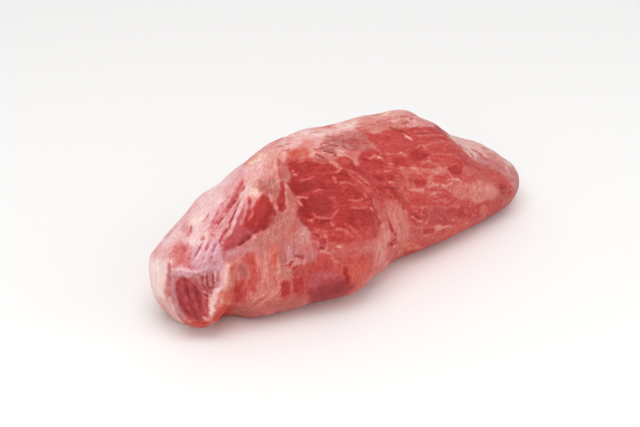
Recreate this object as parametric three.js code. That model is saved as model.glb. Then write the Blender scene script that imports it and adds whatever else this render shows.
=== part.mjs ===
// A raw beef eye round: one whole, untied muscle lying on its flat underside.
// It is thick behind the blunt cut end, has a ridge along the top towards the back, a belly that
// bulges to the front, and a low thin end past a saddle.
//
// Millimetres. +X runs from the cut end to the thin end, -Y is the shown side, +Z is up.
// The origin is on the resting surface, under the middle of the meat's length and width.

import * as THREE from "three";
import { mergeVertices } from "three/addons/utils/BufferGeometryUtils.js";

// Driving dimensions of the muscle.
const LENGTH = 290;
const WIDTH = 104;
const HEIGHT = 91;

// The surface grid: cells along the muscle, and cells across each of its four long sides.
const CELLS_ALONG = 57;
const CELLS_ACROSS = 22;

// Roundness of the cross-section: 2 is an ellipse, more is squarer.
const ROUND_ABOVE = 2.2;
const ROUND_BELOW = 2.8;

const NOTHING = 1e-5; // a half width or height that closes the surface at a tip

// Cross-sections from the tip of the cut end (turn 0) to the tip of the thin end (turn 1).
//   at           place along the muscle, a share of LENGTH
//   middle       sideways place of the section's middle, a share of WIDTH, + to the back
//   front, back  half widths towards -Y and +Y, shares of WIDTH
//   low, waist, top   heights of the underside, the widest part and the top, shares of HEIGHT
//   ridge        how far the top leans to the back, a share of WIDTH
const STATIONS = [
  { turn: 0.0, at: 0.0, middle: 0.02, front: 0, back: 0, low: 0.36, waist: 0.36, top: 0.36, ridge: 0 },
  { turn: 0.12, at: 0.018, middle: 0.01, front: 0.2, back: 0.16, low: 0.15, waist: 0.36, top: 0.52, ridge: 0 },
  { turn: 0.25, at: 0.059, middle: 0, front: 0.3, back: 0.26, low: 0.02, waist: 0.34, top: 0.625, ridge: 0 },
  { turn: 0.31, at: 0.11, middle: 0, front: 0.32, back: 0.32, low: -0.01, waist: 0.35, top: 0.7, ridge: 0.02 },
  { turn: 0.37, at: 0.18, middle: 0.01, front: 0.4, back: 0.345, low: -0.02, waist: 0.37, top: 0.815, ridge: 0.05 },
  { turn: 0.45, at: 0.29, middle: 0.02, front: 0.5, back: 0.385, low: -0.02, waist: 0.41, top: 0.925, ridge: 0.08 },
  { turn: 0.53, at: 0.407, middle: 0.03, front: 0.575, back: 0.43, low: -0.02, waist: 0.4, top: 1.0, ridge: 0.1 },
  { turn: 0.6, at: 0.517, middle: 0.04, front: 0.43, back: 0.45, low: -0.02, waist: 0.39, top: 0.94, ridge: 0.115 },
  { turn: 0.67, at: 0.64, middle: 0.04, front: 0.4, back: 0.445, low: -0.02, waist: 0.36, top: 0.905, ridge: 0.125 },
  { turn: 0.74, at: 0.76, middle: 0.04, front: 0.365, back: 0.425, low: -0.02, waist: 0.33, top: 0.79, ridge: 0.115 },
  { turn: 0.81, at: 0.862, middle: 0.05, front: 0.32, back: 0.35, low: -0.02, waist: 0.28, top: 0.535, ridge: 0.08 },
  { turn: 0.88, at: 0.938, middle: 0.05, front: 0.25, back: 0.27, low: 0, waist: 0.23, top: 0.43, ridge: 0.03 },
  { turn: 1.0, at: 1.0, middle: 0.03, front: 0, back: 0, low: 0.2, waist: 0.2, top: 0.2, ridge: 0 },
];

// Hollows and bosses. Each is an oval about a place on the surface, given as [turn, angle], where the
// angle goes round the muscle in degrees: 0 is the front, 90 the top, 180 the back. Sizes in mm.
const OVALS = [
  { name: "sunken muscle of the cut face", at: [0.22, 6], wide: 19, tall: 25, lift: -6.5 },
  { name: "notch beside the cut face, at the ground", at: [0.326, -44], wide: 16, tall: 26, lift: -7 },
  { name: "shank bundle's sunken flank", at: [0.405, 54], wide: 15, tall: 13, lift: -2.6 },
  { name: "lens of bare muscle on the belly", at: [0.53, 16], wide: 32, tall: 24, lift: -1.8 },
  { name: "bare muscle behind the saddle sheet", at: [0.5, 52], wide: 26, tall: 22, lift: -2.4 },
  { name: "corner where the ridge breaks off", at: [0.705, 92], wide: 20, tall: 18, lift: 4 },
  { name: "boss of fat behind the thin end", at: [0.84, 60], wide: 20, tall: 18, lift: 2 },
  { name: "dent in the back below the ridge", at: [0.36, 160], wide: 30, tall: 20, lift: -3 },
  { name: "muscle swelling on the back", at: [0.56, 172], wide: 48, tall: 22, lift: 3 },
  { name: "dent in the back by the thin end", at: [0.74, 168], wide: 24, tall: 18, lift: -2.5 },
];

// Cracks (lift below 0) and raised seams (lift above 0), along a line of [turn, angle] places.
// half is the distance from the line, in mm, at which the relief has faded to about a third.
const LINES = [
  { name: "long crack of the shank bundle", path: [[0.414, 84], [0.364, 74], [0.336, 70]], half: 3.8, lift: -3.2 },
  { name: "short crack of the shank bundle", path: [[0.41, 66], [0.386, 61], [0.346, 50]], half: 3.8, lift: -2.6 },
  { name: "bundle's lower edge", path: [[0.44, 62], [0.42, 51], [0.4, 45], [0.355, 41], [0.332, 38]], half: 4.2, lift: -2.4 },
  { name: "slot between the tendon strands", path: [[0.464, 70], [0.437, 50]], half: 4, lift: -2.2 },
  { name: "tendon strand of the saddle", path: [[0.474, 84], [0.455, 58], [0.448, 36]], half: 4.5, lift: 1.6 },
  { name: "edge of the sheet over the bare muscle", path: [[0.486, 80], [0.472, 56], [0.47, 43], [0.472, 30]], half: 5, lift: -2.6 },
  { name: "crest of the pale band", path: [[0.606, 34], [0.61, 18], [0.606, 4], [0.587, -22]], half: 6.5, lift: 2 },
  { name: "crack beside the pale band", path: [[0.626, 18], [0.628, -14]], half: 3.4, lift: -1.8 },
  { name: "crease before the thin end's fat", path: [[0.73, 66], [0.765, 45], [0.803, 30], [0.85, 10]], half: 5, lift: -2.6 },
  { name: "upper rim of the cut face", path: [[0.154, 72], [0.238, 46], [0.3, 36]], half: 4.5, lift: 2.2 },
  { name: "right rim of the cut face", path: [[0.304, 34], [0.298, 16], [0.288, -4], [0.27, -26]], half: 5, lift: 2.4 },
  { name: "left rim of the cut face", path: [[0.132, 58], [0.072, 18], [0.138, -36]], half: 5, lift: 2 },
  { name: "fold between cut face and belly", path: [[0.334, 20], [0.326, -6], [0.322, -30]], half: 5, lift: -2.6 },
  { name: "seam along the back", path: [[0.3, 146], [0.4, 160], [0.52, 154], [0.62, 163], [0.74, 148]], half: 5, lift: -1.8 },
  { name: "seam low on the back", path: [[0.4, 184], [0.5, 199], [0.6, 190], [0.7, 203]], half: 5, lift: -1.6 },
  { name: "seam over the ridge", path: [[0.5, 108], [0.57, 122], [0.68, 126]], half: 4, lift: -1.6 },
];

// Soft unevenness of the whole surface: waves of a few centimetres, in mm. They fade out towards the
// underside, which is pressed flat by the meat's own weight.
const PRESSED_HEIGHT = 9;
const WAVES = [
  { along: 63, across: 41, up: 57, start: 0.4, lift: 0.75 },
  { along: 37, across: 59, up: 33, start: 2.1, lift: 0.5 },
  { along: 24, across: 28, up: 45, start: 4.4, lift: 0.35 },
];

const SLIGHT = 1e-9;

/**
 * Smooth value of one column of STATIONS at a turn: cubic Hermite, slopes from the neighbours.
 * The place along the muscle stands still at both tips, which rounds them off.
 */
function columnAt(column, turn) {
  const step = (i) => STATIONS[i + 1].turn - STATIONS[i].turn;
  const rise = (i) => (STATIONS[i + 1][column] - STATIONS[i][column]) / step(i);
  const last = STATIONS.length - 1;
  const inner = (i) => (rise(i - 1) * step(i) + rise(i) * step(i - 1)) / (step(i) + step(i - 1));
  const slope = (i) => {
    if (column === "at" && (i === 0 || i === last)) return 0;
    if (i === 0) return 1.5 * rise(0) - 0.5 * inner(1);
    if (i === last) return 1.5 * rise(last - 1) - 0.5 * inner(last - 1);
    return inner(i);
  };
  let k = 0;
  while (k < last - 1 && turn >= STATIONS[k + 1].turn) k += 1;
  const u = (turn - STATIONS[k].turn) / step(k);
  const [a, b] = [STATIONS[k][column], STATIONS[k + 1][column]];
  const bend = (u ** 3 - 2 * u ** 2 + u) * slope(k) + (u ** 3 - u ** 2) * slope(k + 1);
  return (2 * u ** 3 - 3 * u ** 2 + 1) * a + (3 * u ** 2 - 2 * u ** 3) * b + step(k) * bend;
}

/** Point of the smooth muscle at a turn, in the direction (side, rise) round its middle line. */
function surfacePoint(turn, side, rise) {
  const get = (column) => columnAt(column, turn);
  const above = rise > 0;
  const halfWidth = Math.max(NOTHING, (side < 0 ? get("front") : get("back")) * WIDTH);
  const waist = get("waist") * HEIGHT;
  const reach = above ? get("top") * HEIGHT - waist : waist - get("low") * HEIGHT;
  const halfHeight = Math.max(NOTHING, reach);
  const power = above ? ROUND_ABOVE : ROUND_BELOW;
  const sum = (Math.abs(side) / halfWidth) ** power + (Math.abs(rise) / halfHeight) ** power;
  const radius = sum ** (-1 / power);
  const lean = above ? get("ridge") * WIDTH * ((radius * rise) / halfHeight) ** 2 : 0;
  return new THREE.Vector3(
    get("at") * LENGTH,
    get("middle") * WIDTH + radius * side + lean,
    Math.max(0, waist + radius * rise),
  );
}

/** Point of the smooth muscle at a [turn, angle] place. */
function placeOn([turn, angle]) {
  const round = THREE.MathUtils.degToRad(angle);
  return surfacePoint(turn, -Math.cos(round), Math.sin(round));
}

/** A cube's grid with even angles, put on the muscle: a closed mesh of nearly square cells. */
function muscleGrid() {
  const cube = new THREE.BoxGeometry(2, 2, 2, CELLS_ALONG, CELLS_ACROSS, CELLS_ACROSS);
  cube.deleteAttribute("normal");
  cube.deleteAttribute("uv");
  const grid = mergeVertices(cube);
  const places = grid.getAttribute("position");
  const even = (v) => Math.tan((v * Math.PI) / 4);
  for (let i = 0; i < places.count; i += 1) {
    const unit = new THREE.Vector3().fromBufferAttribute(places, i);
    unit.set(even(unit.x), even(unit.y), even(unit.z)).normalize();
    const turn = 0.5 + Math.asin(THREE.MathUtils.clamp(unit.x, -1, 1)) / Math.PI;
    const girth = Math.hypot(unit.y, unit.z);
    const [side, rise] = girth > SLIGHT ? [unit.y / girth, unit.z / girth] : [1, 0];
    const point = surfacePoint(turn, side, rise);
    places.setXYZ(i, point.x, point.y, point.z);
  }
  return grid;
}

/** Distance from a point to a line of points. */
function distanceToPath(point, path) {
  const nearest = new THREE.Vector3();
  const spans = path.slice(1).map((end, i) => new THREE.Line3(path[i], end));
  return Math.min(
    ...spans.map((span) => span.closestPointToPoint(point, true, nearest).distanceTo(point)),
  );
}

/** A bell that is 1 on the line and about a third at half. */
const bell = (distance, half) => Math.exp(-((distance / half) ** 2));

/** A basin that is 1 in the middle of the oval and 0 from its edge outwards. */
const basin = (share) => (share < 1 ? (1 - share * share) ** 2 : 0);

/** Relief of an oval: its share is the distance from its middle, measured by its half sizes. */
function ovalRelief(oval) {
  const middle = placeOn(oval.at);
  const around = placeOn([oval.at[0], oval.at[1] + 1]).sub(placeOn([oval.at[0], oval.at[1] - 1])).normalize();
  return (point) => {
    const away = point.clone().sub(middle);
    const tall = away.dot(around);
    const wide = Math.sqrt(Math.max(0, away.lengthSq() - tall * tall));
    return oval.lift * basin(Math.hypot(tall / oval.tall, wide / oval.wide));
  };
}

/** Relief of a crack or a raised seam. */
function lineRelief(line) {
  const path = line.path.map(placeOn);
  return (point) => line.lift * bell(distanceToPath(point, path), line.half);
}

/** Relief of one wave: a product of sines along the three axes, a wavelength in mm each. */
function waveRelief(wave) {
  const turnOf = (length, wavelength) => (2 * Math.PI * length) / wavelength + wave.start;
  return (point) =>
    wave.lift *
    THREE.MathUtils.smoothstep(point.z, 0, PRESSED_HEIGHT) *
    Math.sin(turnOf(point.x, wave.along)) *
    Math.sin(turnOf(point.y, wave.across)) *
    Math.sin(turnOf(point.z, wave.up));
}

/** The muscle with its relief, lifted along the smooth surface's normals and flat where it rests. */
function eyeRoundGeometry() {
  const meat = muscleGrid();
  meat.computeVertexNormals();
  const reliefs = [...OVALS.map(ovalRelief), ...LINES.map(lineRelief), ...WAVES.map(waveRelief)];
  const places = meat.getAttribute("position");
  const normals = meat.getAttribute("normal");
  const moved = [];
  for (let i = 0; i < places.count; i += 1) {
    const point = new THREE.Vector3().fromBufferAttribute(places, i);
    const lift = reliefs.reduce((sum, relief) => sum + relief(point), 0);
    point.addScaledVector(new THREE.Vector3().fromBufferAttribute(normals, i), lift);
    moved.push(point.x, point.y, Math.max(0, point.z));
  }
  meat.setAttribute("position", new THREE.Float32BufferAttribute(moved, 3));
  meat.computeBoundingBox();
  const { min, max } = meat.boundingBox;
  meat.translate(-(min.x + max.x) / 2, -(min.y + max.y) / 2, 0);
  meat.computeVertexNormals();
  return meat;
}

const rawMeat = new THREE.MeshStandardMaterial({ color: 0xc4585a, roughness: 0.45, metalness: 0 });

const eyeRound = new THREE.Mesh(eyeRoundGeometry(), rawMeat);
eyeRound.name = "eye_round";

const part = new THREE.Group();
part.add(eyeRound);

export default part;
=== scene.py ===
"""A raw beef eye round on a pale floor.

The meat is one closed surface. Its form repeats the solid's: cross-sections along the muscle, then
hollows, rims, cracks and seams. On that form lie the tissues that show: bare lean muscle, thin fat,
silverskin, threads and amber-stained spots. Each is laid on as a patch or a stroke, so a tissue has its
own colour, its own thickness and the direction of the muscle fibres under it. Some marks are painted
shade, dark in cracks, grooves and pits and under raised edges, and a few are painted highlights.

Lengths are in millimetres until the mesh is made. +X runs to the thin end, -Y is the shown side, +Z up.
"""

import logging
import math
from dataclasses import dataclass, field, fields
from enum import Enum

import bpy
import numpy as np
from mathutils import Matrix


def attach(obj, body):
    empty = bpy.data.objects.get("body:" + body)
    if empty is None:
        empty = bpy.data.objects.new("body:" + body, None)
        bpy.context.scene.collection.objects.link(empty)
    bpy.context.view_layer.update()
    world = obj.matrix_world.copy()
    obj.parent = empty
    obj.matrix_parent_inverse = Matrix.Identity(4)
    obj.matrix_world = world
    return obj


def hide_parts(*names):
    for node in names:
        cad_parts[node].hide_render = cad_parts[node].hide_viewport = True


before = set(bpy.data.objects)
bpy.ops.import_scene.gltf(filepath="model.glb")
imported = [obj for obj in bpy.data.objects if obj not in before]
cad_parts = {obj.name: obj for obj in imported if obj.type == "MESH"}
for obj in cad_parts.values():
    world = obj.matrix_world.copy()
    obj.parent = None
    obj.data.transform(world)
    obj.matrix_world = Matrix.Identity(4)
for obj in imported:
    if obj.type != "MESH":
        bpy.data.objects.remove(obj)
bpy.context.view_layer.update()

MM = 0.001
NODE = "eye_round"
BODY = "root"

TINY = 1e-12
FIRM = {"interpolation_type": "SMOOTHSTEP"}

log = logging.getLogger("eye_round")


def linear(hex_colour: str) -> tuple[float, float, float, float]:
    """Turn an sRGB hex colour into the linear colour that the renderer mixes.

    The sRGB rule: a channel of at most 0.04045 is divided by 12.92, and any other has 0.055 added, is
    divided by 1.055 and is raised to the power 2.4.

    Args:
        hex_colour: six hex digits, such as "c4585a".

    Returns:
        Red, green, blue and an alpha of 1.
    """
    channels = [int(hex_colour[i : i + 2], 16) / 255 for i in (0, 2, 4)]
    bent = [c / 12.92 if c <= 0.04045 else ((c + 0.055) / 1.055) ** 2.4 for c in channels]
    return (*bent, 1.0)


def ease(value: np.ndarray) -> np.ndarray:
    """Smooth step from 0 to 1: 3v squared less 2v cubed, with v held between 0 and 1."""
    v = np.clip(value, 0.0, 1.0)
    return v * v * (3.0 - 2.0 * v)


def unit(vector: np.ndarray) -> np.ndarray:
    """Vectors scaled to length 1, along their last axis."""
    return vector / np.maximum(np.linalg.norm(vector, axis=-1, keepdims=True), TINY)


@dataclass(frozen=True)
class Noise:
    """A smooth random field: random slopes at the corners of a cubic grid, blended between corners."""

    seed: int
    first_seed: int = 17
    seed_step: int = 7919
    corner_mix: tuple[int, int, int] = (0x8DA6B343, 0xD8163841, 0xCB1AB31F)
    stirs: tuple[tuple[int, int], ...] = ((15, 0x2C1B3C6D), (12, 0x297A2D39))
    gain: float = 1.6
    octave_shift: float = 31.7

    def _slopes(self, corner: np.ndarray, offset: np.ndarray) -> np.ndarray:
        """Value that one corner's random slope gives at an offset from it.

        The slope is the corner's place, mixed into one whole number and stirred twice for each axis.

        Args:
            corner: whole-number grid corners, one row for each point.
            offset: place of the point as seen from the corner.

        Returns:
            The dot product of the corner's slope and the offset.
        """
        mixed = np.full(len(corner), self.seed * self.seed_step + self.first_seed, np.uint32)
        for axis, factor in enumerate(self.corner_mix):
            mixed ^= corner[:, axis].astype(np.uint32) * np.uint32(factor)
        total = np.zeros(len(corner))
        for axis in range(3):
            for shift, factor in self.stirs:
                mixed = (mixed ^ (mixed >> np.uint32(shift))) * np.uint32(factor)
            total += (mixed.astype(float) / 2**31 - 1.0) * offset[:, axis]
        return total

    def at(self, points: np.ndarray) -> np.ndarray:
        """Value of the field, about -1 to 1.

        The blend between two corners is 6 times the share to the power 5, less 15 times its fourth power,
        plus 10 times its cube.

        Args:
            points: places in units of the grid.

        Returns:
            One value for each point.
        """
        floor = np.floor(points)
        part = points - floor
        base = floor.astype(np.int64)
        blend = part**3 * (part * (part * 6 - 15) + 10)
        total = np.zeros(len(points))
        for corner in range(8):
            step = np.array([corner & 1, corner >> 1 & 1, corner >> 2 & 1])
            weight = np.prod(np.where(step, blend, 1 - blend), axis=1)
            total += weight * self._slopes(base + step, part - step)
        return total * self.gain

    def rough(self, points: np.ndarray, octaves: int = 3) -> np.ndarray:
        """Sum of fields, each twice as fine and half as strong as the one before."""
        shares = [self.at(points * 2**i + self.octave_shift * i) * 0.5**i for i in range(octaves)]
        return sum(shares) / (2 - 0.5 ** (octaves - 1))


@dataclass(frozen=True)
class Viewpoint:
    """The photograph's camera, found from the meat's outline and its contact with the ground.

    Angles are in degrees, the clip distances in metres, and other lengths in mm.
    """

    azimuth: float = -35.0
    elevation: float = 31.0
    lens: float = 85.0
    sensor: float = 36.0
    distance: float = 985.0
    target: tuple[float, float, float] = (-15.5, 12.3, 34.0)
    picture: tuple[int, int] = (640, 427)
    clip_start: float = 0.05
    clip_end: float = 20.0

    def axes(self) -> np.ndarray:
        """The camera's own directions.

        Returns:
            Rows: its right, its up, and its back, which points away from the meat.
        """
        a, e = math.radians(self.azimuth), math.radians(self.elevation)
        back = np.array([math.sin(a) * math.cos(e), -math.cos(a) * math.cos(e), math.sin(e)])
        right = np.array([math.cos(a), math.sin(a), 0.0])
        return np.stack([right, np.cross(back, right), back])

    def place(self) -> np.ndarray:
        """Where the camera stands, in mm."""
        return np.array(self.target) + self.axes()[2] * self.distance

    def pixels(self, points: np.ndarray) -> tuple[np.ndarray, np.ndarray]:
        """Project points into the picture.

        Args:
            points: places in mm.

        Returns:
            Pixel columns and rows, and each point's depth in front of the camera in mm.
        """
        seen = (points - self.place()) @ self.axes().T
        depth = -seen[:, 2]
        scale = self.lens / self.sensor * self.picture[0] / depth
        across = self.picture[0] / 2 + seen[:, 0] * scale
        down = self.picture[1] / 2 - seen[:, 1] * scale
        return np.stack([across, down], axis=1), depth

    def camera(self) -> None:
        """Make the scene's camera."""
        data = bpy.data.cameras.new("photo_camera")
        data.lens, data.sensor_width, data.sensor_fit = self.lens, self.sensor, "HORIZONTAL"
        data.clip_start, data.clip_end = self.clip_start, self.clip_end
        camera = bpy.data.objects.new("photo_camera", data)
        turned = Matrix(self.axes().T.tolist()).to_4x4()
        turned.translation = (self.place() * MM).tolist()
        camera.matrix_world = turned
        bpy.context.scene.collection.objects.link(camera)
        bpy.context.scene.camera = camera


@dataclass(frozen=True)
class Station:
    """One cross-section: where it is, its half widths and its heights, as shares of the muscle's size.

    Its turn is its place in the round of the surface, from 0 at the cut end to 1 at the thin end.
    """

    turn: float
    at: float
    middle: float
    front: float
    back: float
    low: float
    waist: float
    top: float
    ridge: float


STATIONS = (
    Station(0.00, 0.000, 0.02, 0.000, 0.000, 0.36, 0.36, 0.36, 0.0),
    Station(0.12, 0.018, 0.01, 0.200, 0.160, 0.15, 0.36, 0.52, 0.0),
    Station(0.25, 0.059, 0.00, 0.300, 0.260, 0.02, 0.34, 0.625, 0.0),
    Station(0.31, 0.110, 0.00, 0.320, 0.320, -0.01, 0.35, 0.70, 0.02),
    Station(0.37, 0.180, 0.01, 0.400, 0.345, -0.02, 0.37, 0.815, 0.05),
    Station(0.45, 0.290, 0.02, 0.500, 0.385, -0.02, 0.41, 0.925, 0.08),
    Station(0.53, 0.407, 0.03, 0.575, 0.430, -0.02, 0.40, 1.00, 0.10),
    Station(0.60, 0.517, 0.04, 0.430, 0.450, -0.02, 0.39, 0.94, 0.115),
    Station(0.67, 0.640, 0.04, 0.400, 0.445, -0.02, 0.36, 0.905, 0.125),
    Station(0.74, 0.760, 0.04, 0.365, 0.425, -0.02, 0.33, 0.79, 0.115),
    Station(0.81, 0.862, 0.05, 0.320, 0.350, -0.02, 0.28, 0.535, 0.08),
    Station(0.88, 0.938, 0.05, 0.250, 0.270, 0.00, 0.23, 0.43, 0.03),
    Station(1.00, 1.000, 0.03, 0.000, 0.000, 0.20, 0.20, 0.20, 0.0),
)


@dataclass(frozen=True)
class Oval:
    """A hollow or a boss of the form, oval about a place. Sizes are in mm, and the angle in degrees."""

    turn: float
    angle: float
    wide: float
    tall: float
    lift: float


@dataclass(frozen=True)
class Line:
    """A crack or a raised seam of the form, along places of a turn and an angle. Sizes are in mm."""

    path: tuple[tuple[float, float], ...]
    half: float
    lift: float


OVALS = (
    Oval(0.22, 6, 19, 25, -6.5),
    Oval(0.326, -44, 16, 26, -7.0),
    Oval(0.405, 54, 15, 13, -2.6),
    Oval(0.53, 16, 32, 24, -1.8),
    Oval(0.5, 52, 26, 22, -2.4),
    Oval(0.705, 92, 20, 18, 4.0),
    Oval(0.84, 60, 20, 18, 2.0),
    Oval(0.36, 160, 30, 20, -3.0),
    Oval(0.56, 172, 48, 22, 3.0),
    Oval(0.74, 168, 24, 18, -2.5),
    Oval(0.70, 103, 18, 20, 1.6),
    Oval(0.93, 80, 22, 28, -1.8),
    Oval(0.40, 119, 26, 24, -0.8),
)

LINES = (
    Line(((0.414, 84), (0.364, 74), (0.336, 70)), 3.8, -3.2),
    Line(((0.41, 66), (0.386, 61), (0.346, 50)), 3.8, -2.6),
    Line(((0.44, 62), (0.42, 51), (0.4, 45), (0.355, 41), (0.332, 38)), 4.2, -2.4),
    Line(((0.464, 70), (0.437, 50)), 4.0, -2.2),
    Line(((0.474, 84), (0.455, 58), (0.448, 36)), 4.5, 1.6),
    Line(((0.486, 80), (0.472, 56), (0.47, 43), (0.472, 30)), 5.0, -2.6),
    Line(((0.606, 34), (0.61, 18), (0.606, 4), (0.587, -22)), 6.5, 2.0),
    Line(((0.626, 18), (0.628, -14)), 3.4, -1.8),
    # The crease by the thin end, 1.1 mm shallower than the solid's, whose near bank showed as a grey line.
    Line(((0.73, 66), (0.765, 45), (0.803, 30), (0.85, 10)), 5.5, -1.5),
    Line(((0.154, 72), (0.238, 46), (0.3, 36)), 4.5, 2.2),
    Line(((0.304, 34), (0.298, 16), (0.288, -4), (0.27, -26)), 5.0, 2.4),
    Line(((0.132, 58), (0.072, 18), (0.138, -36)), 5.0, 2.0),
    Line(((0.334, 20), (0.326, -6), (0.322, -30)), 5.0, -2.6),
    Line(((0.3, 146), (0.4, 160), (0.52, 154), (0.62, 163), (0.74, 148)), 5.0, -1.8),
    Line(((0.4, 184), (0.5, 199), (0.6, 190), (0.7, 203)), 5.0, -1.6),
    Line(((0.5, 108), (0.57, 122), (0.68, 126)), 4.0, -1.6),
)


@dataclass(frozen=True)
class Wave:
    """Soft unevenness: a product of sines along the three axes, with a wavelength in mm for each."""

    along: float
    across: float
    up: float
    start: float
    lift: float

    def relief(self, points: np.ndarray, pressed: float) -> np.ndarray:
        """Height of the wave, faded out towards the pressed underside.

        Args:
            points: places in mm.
            pressed: the height above the ground at which the wave is whole.

        Returns:
            One height in mm for each point.
        """
        lengths = np.array([self.along, self.across, self.up])
        turns = 2 * math.pi * points / lengths + self.start
        return self.lift * ease(points[:, 2] / pressed) * np.prod(np.sin(turns), axis=1)


WAVES = (
    Wave(63, 41, 57, 0.4, 0.75),
    Wave(37, 59, 33, 2.1, 0.50),
    Wave(24, 28, 45, 4.4, 0.35),
)


def path_distance(points: np.ndarray, path: np.ndarray) -> tuple[np.ndarray, np.ndarray]:
    """Distance from points to a line of points.

    Args:
        points: places, one row each.
        path: the line's corners, one row each.

    Returns:
        For each point, the least distance to any stretch of the line, and how far along the line its
        nearest place lies, from 0 to 1.
    """
    spans = np.diff(path, axis=0)
    lengths = np.linalg.norm(spans, axis=1)
    before = np.cumsum(lengths) - lengths
    least, along = np.full(len(points), np.inf), np.zeros(len(points))
    for start, span, length, run in zip(path[:-1], spans, lengths, before):
        share = np.clip((points - start) @ span / max(length**2, TINY), 0, 1)
        away = np.linalg.norm(points - start - share[:, None] * span, axis=1)
        along = np.where(away < least, run + share * length, along)
        least = np.minimum(least, away)
    return least, along / max(lengths.sum(), TINY)


@dataclass
class Muscle:
    """The form of the meat, worked out as the solid is. Lengths are in mm, and angles in degrees."""

    length: float = 290.0
    width: float = 104.0
    height: float = 91.0
    round_above: float = 2.2
    round_below: float = 2.8
    pressed: float = 9.0
    cells_along: int = 200
    cells_across: int = 96
    crowding: float = 0.4
    crowded_angle: float = 50.0
    thinnest: float = 1e-5
    merge_grid: float = 1e6
    points: np.ndarray = field(init=False)
    normals: np.ndarray = field(init=False)
    quads: np.ndarray = field(init=False)

    def column(self, name: str, turn: np.ndarray) -> np.ndarray:
        """Smooth value of one column of the stations.

        A cubic Hermite curve: between two stations the value is a cubic that meets both and has a
        slope at each, the mean of the neighbouring slopes weighted by the opposite step. At an end it
        is one and a half times the end's rise less half the next slope. The place along the muscle
        stands still at both tips, which rounds them off.

        Args:
            name: the station's field.
            turn: places from 0 at the cut end to 1 at the thin end.

        Returns:
            One value for each turn.
        """
        knots = np.array([s.turn for s in STATIONS])
        values = np.array([getattr(s, name) for s in STATIONS])
        step = np.diff(knots)
        rise = np.diff(values) / step
        inner = (rise[:-1] * step[1:] + rise[1:] * step[:-1]) / (step[1:] + step[:-1])
        ends = [1.5 * rise[0] - 0.5 * inner[0], 1.5 * rise[-1] - 0.5 * inner[-1]]
        first, last = (0.0, 0.0) if name == "at" else ends
        slope = np.concatenate([[first], inner, [last]])
        k = np.clip(np.searchsorted(knots, turn, side="right") - 1, 0, len(step) - 1)
        u = (turn - knots[k]) / step[k]
        level = (2 * u**3 - 3 * u**2 + 1) * values[k] + (3 * u**2 - 2 * u**3) * values[k + 1]
        bend = (u**3 - 2 * u**2 + u) * slope[k] + (u**3 - u**2) * slope[k + 1]
        return level + step[k] * bend

    def section(self, turn: np.ndarray, side: np.ndarray, rise: np.ndarray) -> np.ndarray:
        """Points of the smooth muscle.

        Each cross-section is a superellipse about its waist: the shares of the half width and of
        the half height, each raised to the roundness, add up to 1. Above the waist the section
        leans to the back by the square of the height's share, and below the ground it is cut flat.

        Args:
            turn: places along the muscle, 0 to 1.
            side: sideways part of the direction round the middle line, + to the back.
            rise: upward part of that direction.

        Returns:
            One point for each turn, in mm.
        """
        get = {f.name: self.column(f.name, turn) for f in fields(Station)}
        above = rise > 0
        half_width = np.maximum(np.where(side < 0, get["front"], get["back"]) * self.width, self.thinnest)
        reach = np.where(above, get["top"] - get["waist"], get["waist"] - get["low"])
        half_height = np.maximum(reach * self.height, self.thinnest)
        power = np.where(above, self.round_above, self.round_below)
        total = (np.abs(side) / half_width) ** power + (np.abs(rise) / half_height) ** power
        radius = total ** (-1 / power)
        lean = get["ridge"] * self.width * (radius * rise / half_height) ** 2
        return np.stack(
            [
                get["at"] * self.length,
                get["middle"] * self.width + radius * side + np.where(above, lean, 0.0),
                np.maximum(get["waist"] * self.height + radius * rise, 0.0),
            ],
            axis=1,
        )

    def place(self, turn: float, angle: float) -> np.ndarray:
        """Find one point of the smooth muscle.

        Args:
            turn: its place along the muscle, 0 to 1.
            angle: its place round the middle line: 0 the front, 90 the top, 180 the back.

        Returns:
            The point in mm.
        """
        a = math.radians(angle)
        values = [np.array([v]) for v in (turn, -math.cos(a), math.sin(a))]
        return self.section(*values)[0]

    def grid(self) -> tuple[np.ndarray, np.ndarray]:
        """A cube's surface with evenly turned cells, put on the unit sphere.

        Points of two sides that fall in one cell of a fine grid are merged into one.

        Returns:
            Unit points, and the quads between them, which face outwards.
        """
        along = np.tan(np.linspace(-math.pi / 4, math.pi / 4, self.cells_along + 1))
        across = np.tan(np.linspace(-math.pi / 4, math.pi / 4, self.cells_across + 1))
        plates = [
            (along, across, lambda a, b: (a, b, np.ones_like(a)), False),
            (along, across, lambda a, b: (a, b, -np.ones_like(a)), True),
            (along, across, lambda a, b: (a, np.ones_like(a), b), True),
            (along, across, lambda a, b: (a, -np.ones_like(a), b), False),
            (across, across, lambda a, b: (np.ones_like(a), a, b), False),
            (across, across, lambda a, b: (-np.ones_like(a), a, b), True),
        ]
        points, quads, start = [], [], 0
        for first, second, lay, turned in plates:
            a, b = np.meshgrid(first, second, indexing="ij")
            rows, columns = np.divmod(np.arange((len(first) - 1) * (len(second) - 1)), len(second) - 1)
            corner = rows * len(second) + columns
            quad = np.stack([corner, corner + len(second), corner + len(second) + 1, corner + 1], 1)
            points.append(np.stack(lay(a, b), axis=-1).reshape(-1, 3))
            quads.append((quad[:, ::-1] if turned else quad) + start)
            start += a.size
        cube = np.concatenate(points)
        keys = np.round(cube * self.merge_grid).astype(np.int64)
        _, first_seen, merged = np.unique(keys, axis=0, return_index=True, return_inverse=True)
        return unit(cube[first_seen]), merged.reshape(-1)[np.concatenate(quads)]

    def normals_of(self, points: np.ndarray) -> np.ndarray:
        """Mean direction of the faces round each point, weighted by their size.

        Args:
            points: the places of all the surface's points.

        Returns:
            One unit direction for each point, outwards.
        """
        corner = points[self.quads]
        facing = np.cross(corner[:, 2] - corner[:, 0], corner[:, 3] - corner[:, 1])
        total = np.zeros_like(points)
        for axis in range(3):
            spread = np.repeat(facing[:, axis], 4)
            total[:, axis] = np.bincount(self.quads.ravel(), spread, minlength=len(points))
        return unit(total)

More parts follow.
